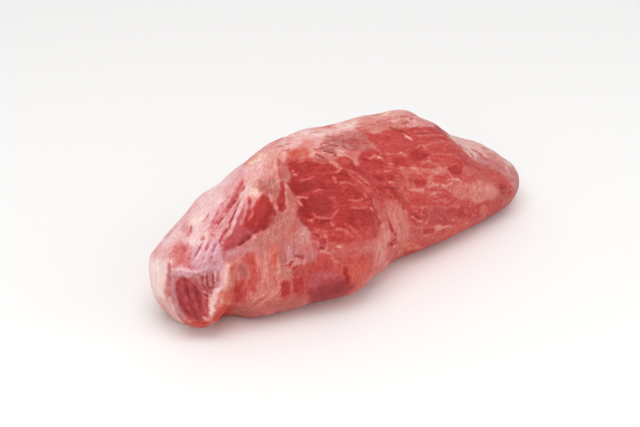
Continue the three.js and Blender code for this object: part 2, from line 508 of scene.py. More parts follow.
    def oval_relief(self, oval: Oval, points: np.ndarray) -> np.ndarray:
        """Relief of an oval: 1 less the share squared, all squared, times its lift.

        The share is the distance from its middle over its half size, up the section and along it.

        Args:
            oval: the hollow or the boss.
            points: places on the smooth muscle.

        Returns:
            One height in mm for each point.
        """
        middle = self.place(oval.turn, oval.angle)
        over, under = (self.place(oval.turn, oval.angle + d) for d in (1, -1))
        away = points - middle
        tall = away @ unit(over - under)
        wide = np.sqrt(np.maximum(0.0, np.sum(away**2, axis=1) - tall**2))
        share = np.hypot(tall / oval.tall, wide / oval.wide)
        return oval.lift * np.where(share < 1, (1 - share**2) ** 2, 0.0)

    def line_relief(self, line: Line, points: np.ndarray) -> np.ndarray:
        """Relief of a line: a bell, e to the power of less the distance by the half width, squared."""
        path = np.array([self.place(turn, angle) for turn, angle in line.path])
        return line.lift * np.exp(-((path_distance(points, path)[0] / line.half) ** 2))

    def shape(self) -> None:
        """Work out the points, the quads and the normals of the form, centred as the solid is.

        The direction round the middle line is shifted by the crowding times the sine of its angle
        from the crowded one, so the cells are finer on the shown side than low at the back.
        """
        sphere, self.quads = self.grid()
        turn = 0.5 + np.arcsin(np.clip(sphere[:, 0], -1, 1)) / math.pi
        angle = np.arctan2(sphere[:, 2], -sphere[:, 1])
        angle = angle - self.crowding * np.sin(angle - math.radians(self.crowded_angle))
        side, rise = -np.cos(angle), np.sin(angle)
        smooth = self.section(turn, side, rise)
        lift = sum(self.oval_relief(o, smooth) for o in OVALS)
        lift = lift + sum(self.line_relief(c, smooth) for c in LINES)
        lift = lift + sum(w.relief(smooth, self.pressed) for w in WAVES)
        points = smooth + self.normals_of(smooth) * lift[:, None]
        points[:, 2] = np.maximum(points[:, 2], 0.0)
        low, high = points.min(0), points.max(0)
        points[:, :2] -= (low[:2] + high[:2]) / 2
        self.points = points
        self.normals = self.normals_of(points)


class Grain(Enum):
    """Directions of the muscle fibres, each from one pixel of the photograph to another."""

    FIELD = ((302, 181), (345, 178))
    CREST = ((412, 136), (447, 135))
    WEB = ((398, 172), (440, 186))
    BUNDLE = ((243, 190), (217, 240))
    FLANK = ((228, 188), (192, 230))
    SHEET = ((284, 172), (280, 212))
    FALL = ((286, 226), (284, 262))
    BELLY = ((263, 244), (259, 290))
    SLANT = ((278, 284), (258, 306))
    HOLLOW = ((183, 276), (201, 318))
    VEIL = ((214, 240), (199, 262))
    BAND = ((383, 224), (385, 250))
    TAIL = ((474, 205), (473, 222))
    RIM = ((158, 254), (162, 296))
    LOBE = ((460, 144), (500, 166))


@dataclass(frozen=True)
class Look:
    """What shows at a place.

    Fat is the cover over the lean, from 0 for the painted shade of a crevice to 1 for thick cream fat.
    Silver is the share of silverskin, amber of amber stain and dull of drying fascia. Streaks is the
    strength of the texture, and lift the thickness in mm.
    """

    fat: float
    silver: float
    amber: float
    dull: float
    streaks: float
    lift: float


class Tissue(Enum):
    """The tissues by name: fat, silver, amber, dull, streaks and lift."""

    # The first two looks are painted shade, not tissues: the dark inside cracks, grooves and pits and under
    # raised edges, sunk a little into the surface.
    CREVICE = Look(0.00, 0.1, 0.0, 0.2, 0.3, -0.7)
    MURK = Look(0.09, 0.1, 0.0, 0.4, 0.4, -0.4)
    DEEP = Look(0.11, 0.0, 0.0, 0.0, 0.25, -0.2)
    LEAN = Look(0.19, 0.0, 0.0, 0.0, 0.4, 0.0)
    BRIGHT = Look(0.32, 0.04, 0.0, 0.0, 0.55, 0.0)
    DUSTY = Look(0.42, 0.05, 0.1, 0.15, 0.6, 0.0)
    WINE = Look(0.21, 0.5, 0.0, 0.0, 0.4, -0.3)
    PLUM = Look(0.13, 0.35, 0.0, 0.2, 0.5, 0.0)
    ROSE = Look(0.34, 0.4, 0.0, 0.0, 0.45, 0.0)
    ROSY = Look(0.52, 0.35, 0.0, 0.0, 0.5, 0.1)
    STRAND = Look(0.73, 0.35, 0.0, 0.0, 0.5, 0.4)
    PINK = Look(0.56, 0.15, 0.05, 0.0, 0.55, 0.2)
    SALMON = Look(0.60, 0.1, 0.15, 0.15, 0.5, 0.2)
    PALE = Look(0.71, 0.12, 0.1, 0.1, 0.5, 0.3)
    TAN = Look(0.51, 0.12, 0.1, 0.6, 0.65, 0.1)
    BROWN = Look(0.42, 0.1, 0.1, 0.55, 0.65, -0.1)
    FAT = Look(0.82, 0.2, 0.1, 0.0, 0.5, 0.4)
    BLUSH = Look(0.88, 0.4, 0.0, 0.0, 0.35, 0.4)
    CREAM = Look(0.96, 0.1, 0.12, 0.2, 0.35, 0.4)
    GREY = Look(0.63, 0.35, 0.05, 0.55, 0.6, 0.1)
    SILVER = Look(0.75, 0.95, 0.0, 0.22, 0.5, 0.3)
    HAZE = Look(0.58, 0.9, 0.0, 0.4, 0.5, 0.1)
    PEARL = Look(0.80, 0.4, 0.0, 0.7, 0.6, 0.3)
    RUST = Look(0.46, 0.0, 0.25, 0.4, 0.6, 0.0)
    BRICK = Look(0.32, 0.0, 0.15, 0.2, 0.5, 0.0)
    MAUVE = Look(0.52, 0.5, 0.0, 0.4, 0.5, 0.0)
    AMBER = Look(0.50, 0.0, 0.6, 0.0, 0.65, 0.0)
    PEACH = Look(0.85, 0.0, 0.55, 0.0, 0.5, 0.3)
    HOT = Look(0.36, 0.0, 0.9, 0.0, 0.5, 0.2)


@dataclass(frozen=True)
class Patch:
    """One tissue laid inside an outline on the shown side.

    Its path is pixels of the photograph, x and y in turn, and its other lengths are in mm. The strands
    of its grain make its edge ragged, and the web of membranes shows in it.
    """

    name: str
    tissue: Tissue
    grain: Grain | None
    path: tuple[float, ...]
    strength: float = 0.9
    soft: float = 2.0
    ragged: float = 2.0
    web: float = 0.0


@dataclass(frozen=True)
class Stroke:
    """One tissue laid along a path, with a half width in mm. It narrows towards both ends."""

    tissue: Tissue
    path: tuple[float, ...]
    half: float = 0.6
    strength: float = 0.8
    soft: float = 0.45
    ragged: float = 0.8
    grain: Grain | None = None


def outline_distance(pixels: np.ndarray, outline: np.ndarray) -> np.ndarray:
    """Distance inside an outline.

    A ray to the right crosses the outline an odd number of times from a place inside it.

    Args:
        pixels: places in the picture, one row each.
        outline: the outline's corners, one row each.

    Returns:
        For each place the distance to the outline in pixels, below 0 outside it.
    """
    closed = np.vstack([outline, outline[:1]])
    inside = np.zeros(len(pixels), bool)
    for (x0, y0), (x1, y1) in zip(closed[:-1], closed[1:]):
        spans = (pixels[:, 1] > y0) != (pixels[:, 1] > y1)
        crossing = x0 + (pixels[:, 1] - y0) * (x1 - x0) / (y1 - y0 if y1 != y0 else TINY)
        inside ^= spans & (pixels[:, 0] < crossing)
    return np.where(inside, 1, -1) * path_distance(pixels, closed)[0]


# The large tissues of the shown side, on which all the others lie.
GROUND = (
    Patch("fat along the top", Tissue.FAT, Grain.FIELD, (205, 192, 250, 160, 300, 132, 345, 122, 395, 104,
        402, 128, 362, 150, 340, 158, 310, 160, 296, 168, 286, 176, 262, 184, 240, 188, 222, 206), soft=3,
        ragged=3),
    Patch("flank by the cut face", Tissue.BLUSH, Grain.FLANK, (240, 164, 252, 170, 238, 190, 226, 206,
        212, 226, 204, 242, 192, 268, 170, 268, 160, 300, 136, 290, 146, 236, 194, 192), ragged=2.5),
    Patch("lean face", Tissue.LEAN, Grain.FIELD, (286, 158, 340, 158, 364, 132, 396, 128, 440, 126, 466, 152,
        504, 178, 508, 206, 470, 240, 430, 250, 415, 242, 404, 212, 384, 204, 378, 236, 340, 250, 304, 240,
        296, 214), 1, soft=1.5),
    Patch("far lean face", Tissue.BRIGHT, Grain.WEB, (366, 134, 400, 130, 450, 150, 470, 170, 500, 190,
        500, 214, 470, 238, 430, 246, 416, 236, 408, 210, 392, 196, 372, 182, 356, 160), 0.95, soft=5,
        ragged=4, web=0.5),
    Patch("belly", Tissue.SALMON, Grain.BELLY, (224, 252, 256, 238, 276, 222, 300, 222, 312, 246, 340, 246,
        376, 240, 392, 262, 350, 296, 300, 312, 236, 322, 226, 300), 1, soft=1.5),
    Patch("right of the belly", Tissue.BRIGHT, Grain.BELLY, (312, 254, 338, 250, 372, 254, 378, 268, 350, 292,
        310, 300, 304, 284), 0.85, soft=3, ragged=3),
    Patch("bundle", Tissue.STRAND, Grain.BUNDLE, (240, 176, 252, 186, 262, 192, 272, 202, 272, 220, 254, 238,
        234, 249, 216, 246, 206, 232, 214, 212, 228, 196), 1, soft=1.2, ragged=1.5),
    Patch("saddle", Tissue.TAN, Grain.SHEET, (268, 160, 286, 156, 290, 176, 290, 190, 300, 198, 297, 214,
        310, 232, 312, 250, 296, 258, 262, 240, 272, 222, 274, 206, 264, 190, 256, 182), soft=1.5),
    Patch("thin end's cover", Tissue.PEARL, Grain.LOBE, (444, 128, 470, 136, 500, 146, 526, 168, 528, 196,
        516, 192, 510, 182, 500, 172, 488, 168, 476, 163, 468, 155, 458, 145, 450, 138), 1, soft=0.9,
        ragged=1.2),
    Patch("skirt of the thin end", Tissue.BROWN, Grain.LOBE, (486, 202, 498, 194, 520, 186, 526, 200,
        500, 216, 484, 224), 0.85, soft=2.5),
    Patch("cut end", Tissue.MAUVE, Grain.HOLLOW, (169, 272, 184, 268, 204, 270, 222, 262, 226, 284, 218, 306,
        222, 322, 204, 334, 184, 326, 172, 304), 1, soft=1.2, ragged=1),
)

# The sunken cut face at the left: its rims, its lobes with folds and grooves, its fringe and its lip, with
# painted shade in its grooves and its crease.
CUT_END = (
    Patch("left rim's cream", Tissue.CREAM, Grain.RIM, (146, 262, 152, 254, 160, 258, 167, 264, 168, 284,
        167, 300, 158, 300, 144, 290, 142, 272), 0.8, soft=5, ragged=3),
    Patch("left rim's blush", Tissue.PALE, Grain.RIM, (150, 246, 162, 241, 171, 248, 168, 260, 154, 258),
        0.4),
    Patch("left rim's foot", Tissue.PEARL, Grain.RIM, (158, 299, 168, 298, 174, 306, 180, 318, 184, 330,
        168, 322, 156, 310), 0.75, soft=3),
    Stroke(Tissue.GREY, (166, 290, 167, 300, 171, 308), 1.8, 0.7, soft=1.6, ragged=1.5),
    Stroke(Tissue.PALE, (160, 304, 164, 311), 2.2, 0.7, soft=1.5),
    Stroke(Tissue.SILVER, (174, 308, 180, 320), 1.6, 0.6, soft=1.5),
    Stroke(Tissue.HAZE, (168.5, 264, 169, 276, 170.5, 290, 175, 303, 181, 315), 1.8, 0.9, soft=1.2,
        grain=Grain.RIM),
    # Painted shade: the grey-brown line in the crease between the left rim and the hollow's wall.
    Stroke(Tissue.BROWN, (168, 266, 169.5, 278, 171.5, 292, 175, 302), 1.2, soft=0.9, ragged=1.2),
    Stroke(Tissue.HAZE, (172.5, 275, 173, 288, 177, 302, 183, 314, 186, 320), 1.5, 0.9, soft=1,
        grain=Grain.HOLLOW),
    Stroke(Tissue.SILVER, (171, 273.5, 178, 272.5, 186, 273.5, 193, 277), 2.2, 0.95, soft=1,
        grain=Grain.HOLLOW),
    Patch("veil", Tissue.SILVER, Grain.VEIL, (197, 248, 206, 240, 217, 237, 222, 247, 224, 262, 221, 272,
        203, 272, 194, 269, 194, 257), 0.95),
    Patch("hollow, left lobe", Tissue.WINE, Grain.HOLLOW, (175.5, 284, 179, 279, 184, 277.5, 189, 280,
        194, 285, 199, 290, 204, 297, 208, 303, 209, 309, 208, 315, 205, 321, 197, 322, 189, 319, 183, 314,
        179, 306, 176.5, 297, 175, 290), 1, soft=1, ragged=0.6),
    Patch("hollow, lower right", Tissue.ROSE, Grain.HOLLOW, (203, 294, 210, 300, 209, 314, 205, 318,
        201, 306), 0.8, soft=1.2),
    Stroke(Tissue.ROSE, (180, 282, 183, 294, 188, 306, 192, 314), 1.5, 0.7, soft=1.2, grain=Grain.HOLLOW),
    Stroke(Tissue.ROSE, (189, 284, 192, 294, 196, 305, 200, 314), 1.5, 0.7, soft=1.2, grain=Grain.HOLLOW),
    Stroke(Tissue.ROSY, (191, 279, 197, 285, 203, 291, 208, 297, 211, 302), 0.6, 0.7),
    Stroke(Tissue.ROSE, (192, 278, 197, 284, 202, 290), 1.8, 0.7, soft=1.4, ragged=1.5),
    Stroke(Tissue.ROSY, (203, 293, 203, 302, 206, 312), 0.8, 0.5),
    # The dark strokes that follow are painted shade in the grooves between the hollow's folds.
    Stroke(Tissue.MURK, (184, 279, 185.5, 286, 188, 293, 188.5, 299), 0.7, 0.85),
    Stroke(Tissue.MURK, (193, 285, 196, 291, 197.5, 299, 200, 308), 0.7, 0.85),
    Stroke(Tissue.MURK, (179, 301, 184, 307, 189, 315), 0.6, 0.75),
    Stroke(Tissue.MURK, (187, 300, 190, 306, 193, 312), 0.5, 0.5),
    Stroke(Tissue.CREVICE, (204, 293, 207, 298, 209, 303), 0.7, 0.75),
    # Painted shade: the grey-lilac band under the pale ridge above the hollow.
    Stroke(Tissue.HAZE, (190, 274.5, 199, 275.5, 208, 274, 218, 271), 2.2, 0.95, soft=1.2,
        grain=Grain.HOLLOW),
    Stroke(Tissue.GREY, (198.5, 274, 200, 283, 203, 290), 0.5),
    Stroke(Tissue.GREY, (204, 273, 205, 282), 0.45),
    Stroke(Tissue.GREY, (209.5, 272, 210.5, 282), 0.45),
    Stroke(Tissue.BLUSH, (214.5, 271, 215.5, 281), 0.5),
    Stroke(Tissue.PLUM, (207, 275, 208, 289), 0.45, 0.85),
    Stroke(Tissue.PLUM, (212.2, 273, 213, 286), 0.45, 0.85),
    Stroke(Tissue.PLUM, (201.8, 276, 203, 286), 0.45, 0.85),
    Stroke(Tissue.MURK, (209, 288, 212, 295), 0.6, 0.6),
    Stroke(Tissue.WINE, (203, 288, 208, 291, 213, 288), 1.2, soft=1, ragged=1.2),
    Stroke(Tissue.BLUSH, (171, 269, 179, 268.5, 186, 270, 191, 272.5, 197, 272, 204, 269.5), 1.3, 0.95,
        soft=0.9),
    Stroke(Tissue.SILVER, (200, 270.5, 209, 268, 218, 267), 1.1, 0.9, soft=0.9),
    Patch("pale lip, upper", Tissue.BLUSH, Grain.BELLY, (221, 270, 229, 264, 230, 272, 228, 283, 224, 290,
        218, 291, 217.5, 284, 219, 276), 0.7, soft=1, ragged=2.6),
    Patch("pale lip, lower", Tissue.CREAM, Grain.HOLLOW, (214, 289, 221, 289, 219.5, 298, 216.5, 306,
        213.5, 315, 209, 315, 208, 306, 210, 297), 0.78, soft=1, ragged=2.8),
    Stroke(Tissue.PINK, (222, 290, 220, 298, 216, 309), 1.2, soft=1),
    # Peach along the lip's edge; its brightest part is a painted highlight on the lip's ridge.
    Stroke(Tissue.PEACH, (227.5, 266, 226.5, 284, 222, 298), 1.1, 0.7, soft=1),
    Patch("mottled edge under the hollow", Tissue.DUSTY, Grain.HOLLOW, (183, 317, 192, 321, 202, 321,
        208, 317, 213, 321, 208, 332, 196, 334, 182, 328), 0.85, soft=1, ragged=3.5),
    Stroke(Tissue.LEAN, (190, 325, 200, 328, 210, 326), 0.8, ragged=2.4),
    Stroke(Tissue.HOT, (190, 323, 200, 326, 209, 324), 1.4, 0.6, soft=1.4, ragged=1.5),
    Stroke(Tissue.PALE, (203, 319, 208, 321, 213, 318), 0.8, ragged=1.2),
    Stroke(Tissue.PALE, (184, 318, 189, 322, 196, 320), 0.9, ragged=2.2),
    Stroke(Tissue.LEAN, (188, 319, 196, 323, 206, 323), 0.8, 0.7, ragged=2.2),
    Patch("orange corner", Tissue.HOT, Grain.SLANT, (219, 308, 226, 305, 233, 305, 238, 309, 230, 314,
        223, 319, 217, 323, 213, 320, 216, 313), 1, soft=0.7, ragged=1),
    Stroke(Tissue.PALE, (221, 304, 228, 302, 236, 304, 241, 307), 0.8, 0.75),
    Patch("amber beside the lip", Tissue.AMBER, Grain.BELLY, (222, 292, 228, 286, 236, 290, 236, 302,
        224, 304), soft=1.4),
)

# The pale flank between the cut face and the bundle, with its blob, its flecks and its veil.
FLANK = (
    Patch("red blob", Tissue.ROSY, Grain.RIM, (173, 246, 179, 241, 187, 242, 191, 250, 191, 260, 190, 269,
        183, 266, 175, 267, 171, 256), 0.8, soft=2.6, ragged=3),
    Patch("red blob's heart", Tissue.PINK, None, (176, 247, 183, 243, 188, 250, 188, 262, 181, 262, 176, 258),
        0.6, soft=2.6, ragged=2.5),
    Patch("pink beside the blob", Tissue.ROSY, Grain.VEIL, (190, 248, 193, 246, 194, 256, 192, 266, 189, 266),
        0.6, soft=1.6),
    Patch("pale beside the blob", Tissue.SILVER, Grain.VEIL, (193, 245, 200, 243, 202, 254, 200, 268,
        193, 268, 192, 256), 0.75, soft=1.4),
    Stroke(Tissue.ROSE, (183, 246, 185, 251), 1, 0.7, soft=1.2),
    Stroke(Tissue.WINE, (188, 257, 189.5, 267), 0.5),
    Stroke(Tissue.ROSY, (170, 252, 169.5, 266), 0.7, 0.7, soft=0.9),
    Patch("white patch", Tissue.CREAM, Grain.FLANK, (200, 206, 206, 208, 204, 216, 201, 223, 198, 228,
        191, 225, 190, 219, 195, 213), soft=2.2),
    Patch("pale field", Tissue.BLUSH, Grain.FLANK, (192, 230, 203, 228, 210, 232, 206, 242, 194, 246), 0.6,
        soft=2.4),
    Patch("cream near the outline", Tissue.BLUSH, Grain.FLANK, (171, 226, 181, 224, 183, 236, 176, 241,
        168, 240), 0.5),
    Patch("cream by the top outline", Tissue.CREAM, Grain.FLANK, (205, 190, 212, 184, 222, 178, 224, 184,
        216, 192, 208, 200), 0.5, soft=1.8),
    Patch("lilac by the outline", Tissue.BLUSH, Grain.FLANK, (160, 236, 170, 234, 173, 244, 162, 250), 0.7,
        soft=1.8),
    Patch("magenta patch", Tissue.ROSY, Grain.FLANK, (183, 222, 191, 224, 191, 231, 187, 236, 181, 230), 0.35,
        soft=2.2),
    Stroke(Tissue.ROSE, (191.5, 225, 190, 231, 187.5, 235), 0.5, 0.75),
    Patch("rose by the bundle", Tissue.STRAND, Grain.BUNDLE, (206, 216, 216, 206, 224, 200, 219, 212,
        212, 222, 206, 224), 0.5, soft=2.6),
    Patch("light of the mid flank", Tissue.BLUSH, Grain.FLANK, (192, 208, 208, 192, 224, 182, 232, 192,
        224, 204, 208, 214, 196, 218), 0.85, soft=2.6),
    Patch("rose of the top flank", Tissue.STRAND, Grain.BUNDLE, (222, 192, 230, 182, 240, 170, 250, 172,
        244, 184, 234, 192, 226, 200), 0.8, soft=3),
    Stroke(Tissue.ROSY, (208, 214, 205, 220, 202, 221.5), 0.7, 0.9),
    Stroke(Tissue.ROSY, (229, 196, 225, 201, 221, 206), 0.5, 0.85),
    Stroke(Tissue.ROSE, (219, 210, 214, 218, 210, 226), 0.5, 0.65),
    Stroke(Tissue.ROSY, (211, 234, 215, 237), 0.7, 0.85),
    Stroke(Tissue.PALE, (198, 204, 190, 209, 184, 215), 0.9, 0.6, soft=0.9),
    Stroke(Tissue.TAN, (176, 226, 170, 232, 165, 238), 0.7, 0.6, soft=0.9),
    Stroke(Tissue.TAN, (204, 232, 202, 240), 0.9, 0.7, soft=1),
    Stroke(Tissue.BLUSH, (206, 240, 201, 249, 197, 260), 0.9, grain=Grain.VEIL),
    Stroke(Tissue.BLUSH, (214, 240, 209, 250, 204, 262), 0.8, 0.7, grain=Grain.VEIL),
    Stroke(Tissue.SILVER, (220, 240, 216, 250, 212, 262), 0.9, 0.9, grain=Grain.VEIL),
    Stroke(Tissue.ROSE, (204, 238, 199, 248, 194.5, 258), 0.45),
    Stroke(Tissue.ROSE, (211, 239, 206.5, 249, 202, 260), 0.45),
    Stroke(Tissue.ROSE, (217.5, 241, 213, 251, 208.5, 263), 0.45),
    Stroke(Tissue.HAZE, (206, 265, 213, 263, 221, 259), 2.4, soft=2.2),
)

# The bundle of strands and furrows, the dark lobe beside it and the dark belt under it, with painted shade in
# the furrows and under the raised sheet's edge.
SHANK = (
    Patch("top of the bundle", Tissue.PALE, Grain.BUNDLE, (243, 190, 254, 187, 260, 190, 262, 197, 258, 203,
        252, 200, 244, 199), 0.8, soft=1.2),
    Patch("foot of the bundle", Tissue.ROSE, Grain.BUNDLE, (236, 216, 250, 208, 256, 214, 250, 226, 240, 236,
        228, 244, 220, 244, 224, 232), soft=2.5),
    Patch("deep run of the bundle", Tissue.LEAN, Grain.BUNDLE, (246, 212, 254, 210, 258, 222, 252, 232,
        244, 234, 242, 226), 1, soft=1.8),
    Patch("dark lobe", Tissue.LEAN, Grain.BUNDLE, (255, 205, 258, 197, 264, 193, 271, 197, 275.5, 206,
        276, 215, 273, 221.5, 267, 226.5, 261, 230, 254, 232, 247, 226, 250, 216, 252, 208), 1, soft=0.9,
        ragged=0.6),
    # Painted shade: the two dark strokes along the lobe's lower right border, where the lean lies below the
    # sheet.
    Stroke(Tissue.DEEP, (270, 203, 272, 214, 267, 223, 258, 229), 2.4, 0.9, soft=1.5),
    Stroke(Tissue.MURK, (266, 226, 259, 229, 251, 231), 1.4, 0.6, soft=1.2),
    Patch("dark belt", Tissue.ROSE, Grain.BUNDLE, (244, 227, 252, 233, 249, 238, 243, 242, 236, 245, 231, 249,
        225, 248, 221, 244, 227, 238, 236, 232), 1, soft=1.6, ragged=1.2),
    # Painted shade along the bundle's foot, under the raised sheet's edge.
    Stroke(Tissue.WINE, (259, 229, 249, 236, 240, 242, 232, 247, 226, 247), 1.6, 1, soft=1.2,
        grain=Grain.BUNDLE),
    Stroke(Tissue.ROSY, (243, 180, 238, 189, 232, 200, 226, 209, 218, 218, 212, 227), 1.7, 1, soft=0.8,
        grain=Grain.BUNDLE),
    Stroke(Tissue.ROSE, (243, 181, 239, 189, 233, 200, 227, 208), 1.1, 0.85, soft=1, grain=Grain.BUNDLE),
    Stroke(Tissue.STRAND, (236, 189, 230, 200, 222, 211, 215, 220), 0.7),
    # The dark wine strokes among the strands below are painted shade in the furrows between them.
    Stroke(Tissue.WINE, (244, 186, 240, 193, 236, 200, 231, 207, 226, 214, 220, 222), 0.6, 1),
    Stroke(Tissue.WINE, (220, 221, 217, 227, 214, 231)),
    Stroke(Tissue.STRAND, (242, 194, 238, 201, 233, 208, 228, 215, 222, 224, 216, 233), 1.5, 1,
        grain=Grain.BUNDLE),
    Stroke(Tissue.WINE, (240, 200, 236.5, 207, 233, 214, 231, 222, 228, 232), 0.7, 1),
    Stroke(Tissue.BLUSH, (243, 201, 239, 210, 235, 220, 230, 232, 226, 240), 1.2, 0.75, grain=Grain.BUNDLE),
    Stroke(Tissue.ROSE, (246, 203, 242, 212, 238, 222, 234, 232), 0.55, 0.85),
    Stroke(Tissue.STRAND, (248, 205, 245, 214, 240, 225), 0.8),
    Stroke(Tissue.LEAN, (248, 197, 250.5, 205, 249, 214, 246, 222), 1.1, soft=0.8),
    Stroke(Tissue.PINK, (254, 205, 252, 213, 248, 220), 0.9),
    Stroke(Tissue.WINE, (217, 221, 220, 227), 0.8, 0.9),
    Stroke(Tissue.STRAND, (224, 226, 220, 235, 217, 243), 0.8),
    Stroke(Tissue.STRAND, (229, 231, 225, 239, 222, 245), 0.7, 0.6),
    Stroke(Tissue.WINE, (227, 228, 222, 237, 219, 243), 0.5),
    Patch("white cap", Tissue.CREAM, Grain.BUNDLE, (240, 196, 243, 189, 247, 184, 254, 185, 259, 190,
        262, 195, 258, 199, 254, 196, 248, 195, 245, 199, 241, 200), 0.65, soft=1.6, ragged=1),
    Patch("tan skin above the lobe", Tissue.TAN, Grain.SHEET, (258, 184, 264, 178, 275, 177, 278, 186,
        275, 196, 270, 195, 264, 190, 259, 188), 0.95, soft=1.6),
    Stroke(Tissue.BROWN, (261, 186, 267, 187, 273, 191), 1.8, 0.7, soft=1.5, ragged=1.5),
    Stroke(Tissue.PALE, (263, 193, 269, 198, 274, 205, 276, 214, 274, 221, 267, 229, 259, 234), 0.6, 0.55,
        soft=0.8),
    # Painted shade: the thin dark line under the raised sheet's edge, along the lobe and the dark belt.
    Stroke(Tissue.MURK, (265, 195.5, 270.5, 200, 274, 210, 273, 218, 266, 227, 256, 232, 248, 239, 241, 243,
        233, 249), 0.45, 0.6),
    Stroke(Tissue.CREVICE, (245, 242, 240, 245), 0.6, 0.75),
)

# The dull skin between the bundle and the lean, with fat and amber along the ridge above it.
SADDLE = (
    Patch("pink top left", Tissue.FAT, Grain.FIELD, (262, 140, 282, 136, 300, 130, 304, 137, 284, 146,
        268, 151, 252, 158, 244, 160), 0.6),
    Patch("peach under it", Tissue.PEACH, Grain.FIELD, (248, 163, 260, 154, 272, 151, 275, 158, 262, 163,
        252, 167), soft=1.8),
    Patch("pink field", Tissue.FAT, Grain.SHEET, (254, 164, 270, 157, 278, 164, 275, 177, 258, 180, 251, 176),
        0.65, soft=2.4),
    Patch("salmon field", Tissue.PALE, Grain.SHEET, (268, 154, 288, 149, 290, 157, 284, 162, 272, 168), 0.8,
        soft=1.8),
    Patch("hot amber", Tissue.AMBER, Grain.FIELD, (289, 152, 299, 147, 310, 150, 309, 155, 298, 158,
        289, 159), 1, soft=1.6, ragged=2.5),
    Patch("amber by the ridge", Tissue.AMBER, Grain.FIELD, (302, 141, 312, 137, 315, 146, 307, 151, 300, 148),
        0.4, soft=1.6),
    Patch("cream ridge", Tissue.CREAM, Grain.FIELD, (288, 135, 306, 128, 326, 126, 332, 131, 318, 138,
        298, 141), 0.5),
    # Cream fat along the top edge; its paleness is partly a painted highlight from the top light.
    Patch("cream of the top edge", Tissue.CREAM, Grain.FIELD, (334, 123, 346, 119, 360, 117, 358, 126,
        346, 130, 336, 131), 0.6),
    Stroke(Tissue.TAN, (279, 146, 290, 143.5), 0.5, 0.85),
    Stroke(Tissue.BROWN, (281, 150.5, 291, 149), 0.4, 0.7),
    Stroke(Tissue.GREY, (308, 132.5, 322, 131)),
    Patch("knot", Tissue.TAN, Grain.SHEET, (282, 171, 289, 169, 292, 175, 288, 180, 282, 178), soft=1.2),
    Stroke(Tissue.BRIGHT, (279, 158, 279.5, 170, 281, 180), 1.1, 0.75, soft=0.9, grain=Grain.SHEET),
    Patch("red slot", Tissue.LEAN, Grain.SHEET, (280, 181, 283, 180, 284, 190, 285, 198, 286, 206, 283, 211,
        280, 213, 277, 207, 276, 201, 279, 195, 280, 188), 0.95, soft=0.7, ragged=0.8),
    Stroke(Tissue.DEEP, (279, 202, 281, 209), 1.5, soft=0.9),
    Stroke(Tissue.PALE, (269, 194, 273, 202, 278, 212), 0.8, 0.85),
    Stroke(Tissue.FAT, (286, 184, 285.5, 194, 286.5, 204, 285, 212), 0.8, 0.85),
    Stroke(Tissue.FAT, (277, 158, 276, 170, 277, 182), 0.7, 0.6),
    Patch("dull flap", Tissue.RUST, Grain.SHEET, (287, 188, 292, 191, 297, 196, 302, 199, 303, 204, 298, 208,
        297, 216, 300, 222, 290, 218, 286, 208, 287, 198), 0.5, soft=0.9, ragged=1.5),
    Patch("fall, upper", Tissue.TAN, Grain.FALL, (272, 216, 284, 213, 294, 216, 300, 224, 292, 228, 280, 232,
        268, 230), 0.95),
    Patch("fall, left", Tissue.TAN, Grain.FALL, (256, 240, 266, 230, 278, 230, 280, 240, 272, 246, 262, 246),
        0.95, soft=1.8),
    Patch("red dab", Tissue.DUSTY, Grain.FALL, (290, 226, 296, 223, 299, 229, 295, 233, 290, 232), soft=1,
        ragged=1.2),
    Patch("red tinge", Tissue.RUST, Grain.FALL, (282, 230, 290, 229, 290, 238, 284, 241), 0.7, soft=1.6),
    Patch("pale tongue", Tissue.GREY, Grain.FALL, (299, 226, 306, 226, 312, 232, 312, 244, 304, 248,
        299, 243), 0.85, soft=1, ragged=1.5),
    # Painted highlight: a small glint on the pale tongue.
    Stroke(Tissue.CREAM, (300, 234.5, 304, 234.5), 0.6, 0.9),
    Patch("pink under the tongue", Tissue.PINK, Grain.FALL, (300, 246, 314, 247, 318, 254, 308, 260,
        300, 256), 0.8, soft=1.3),
)

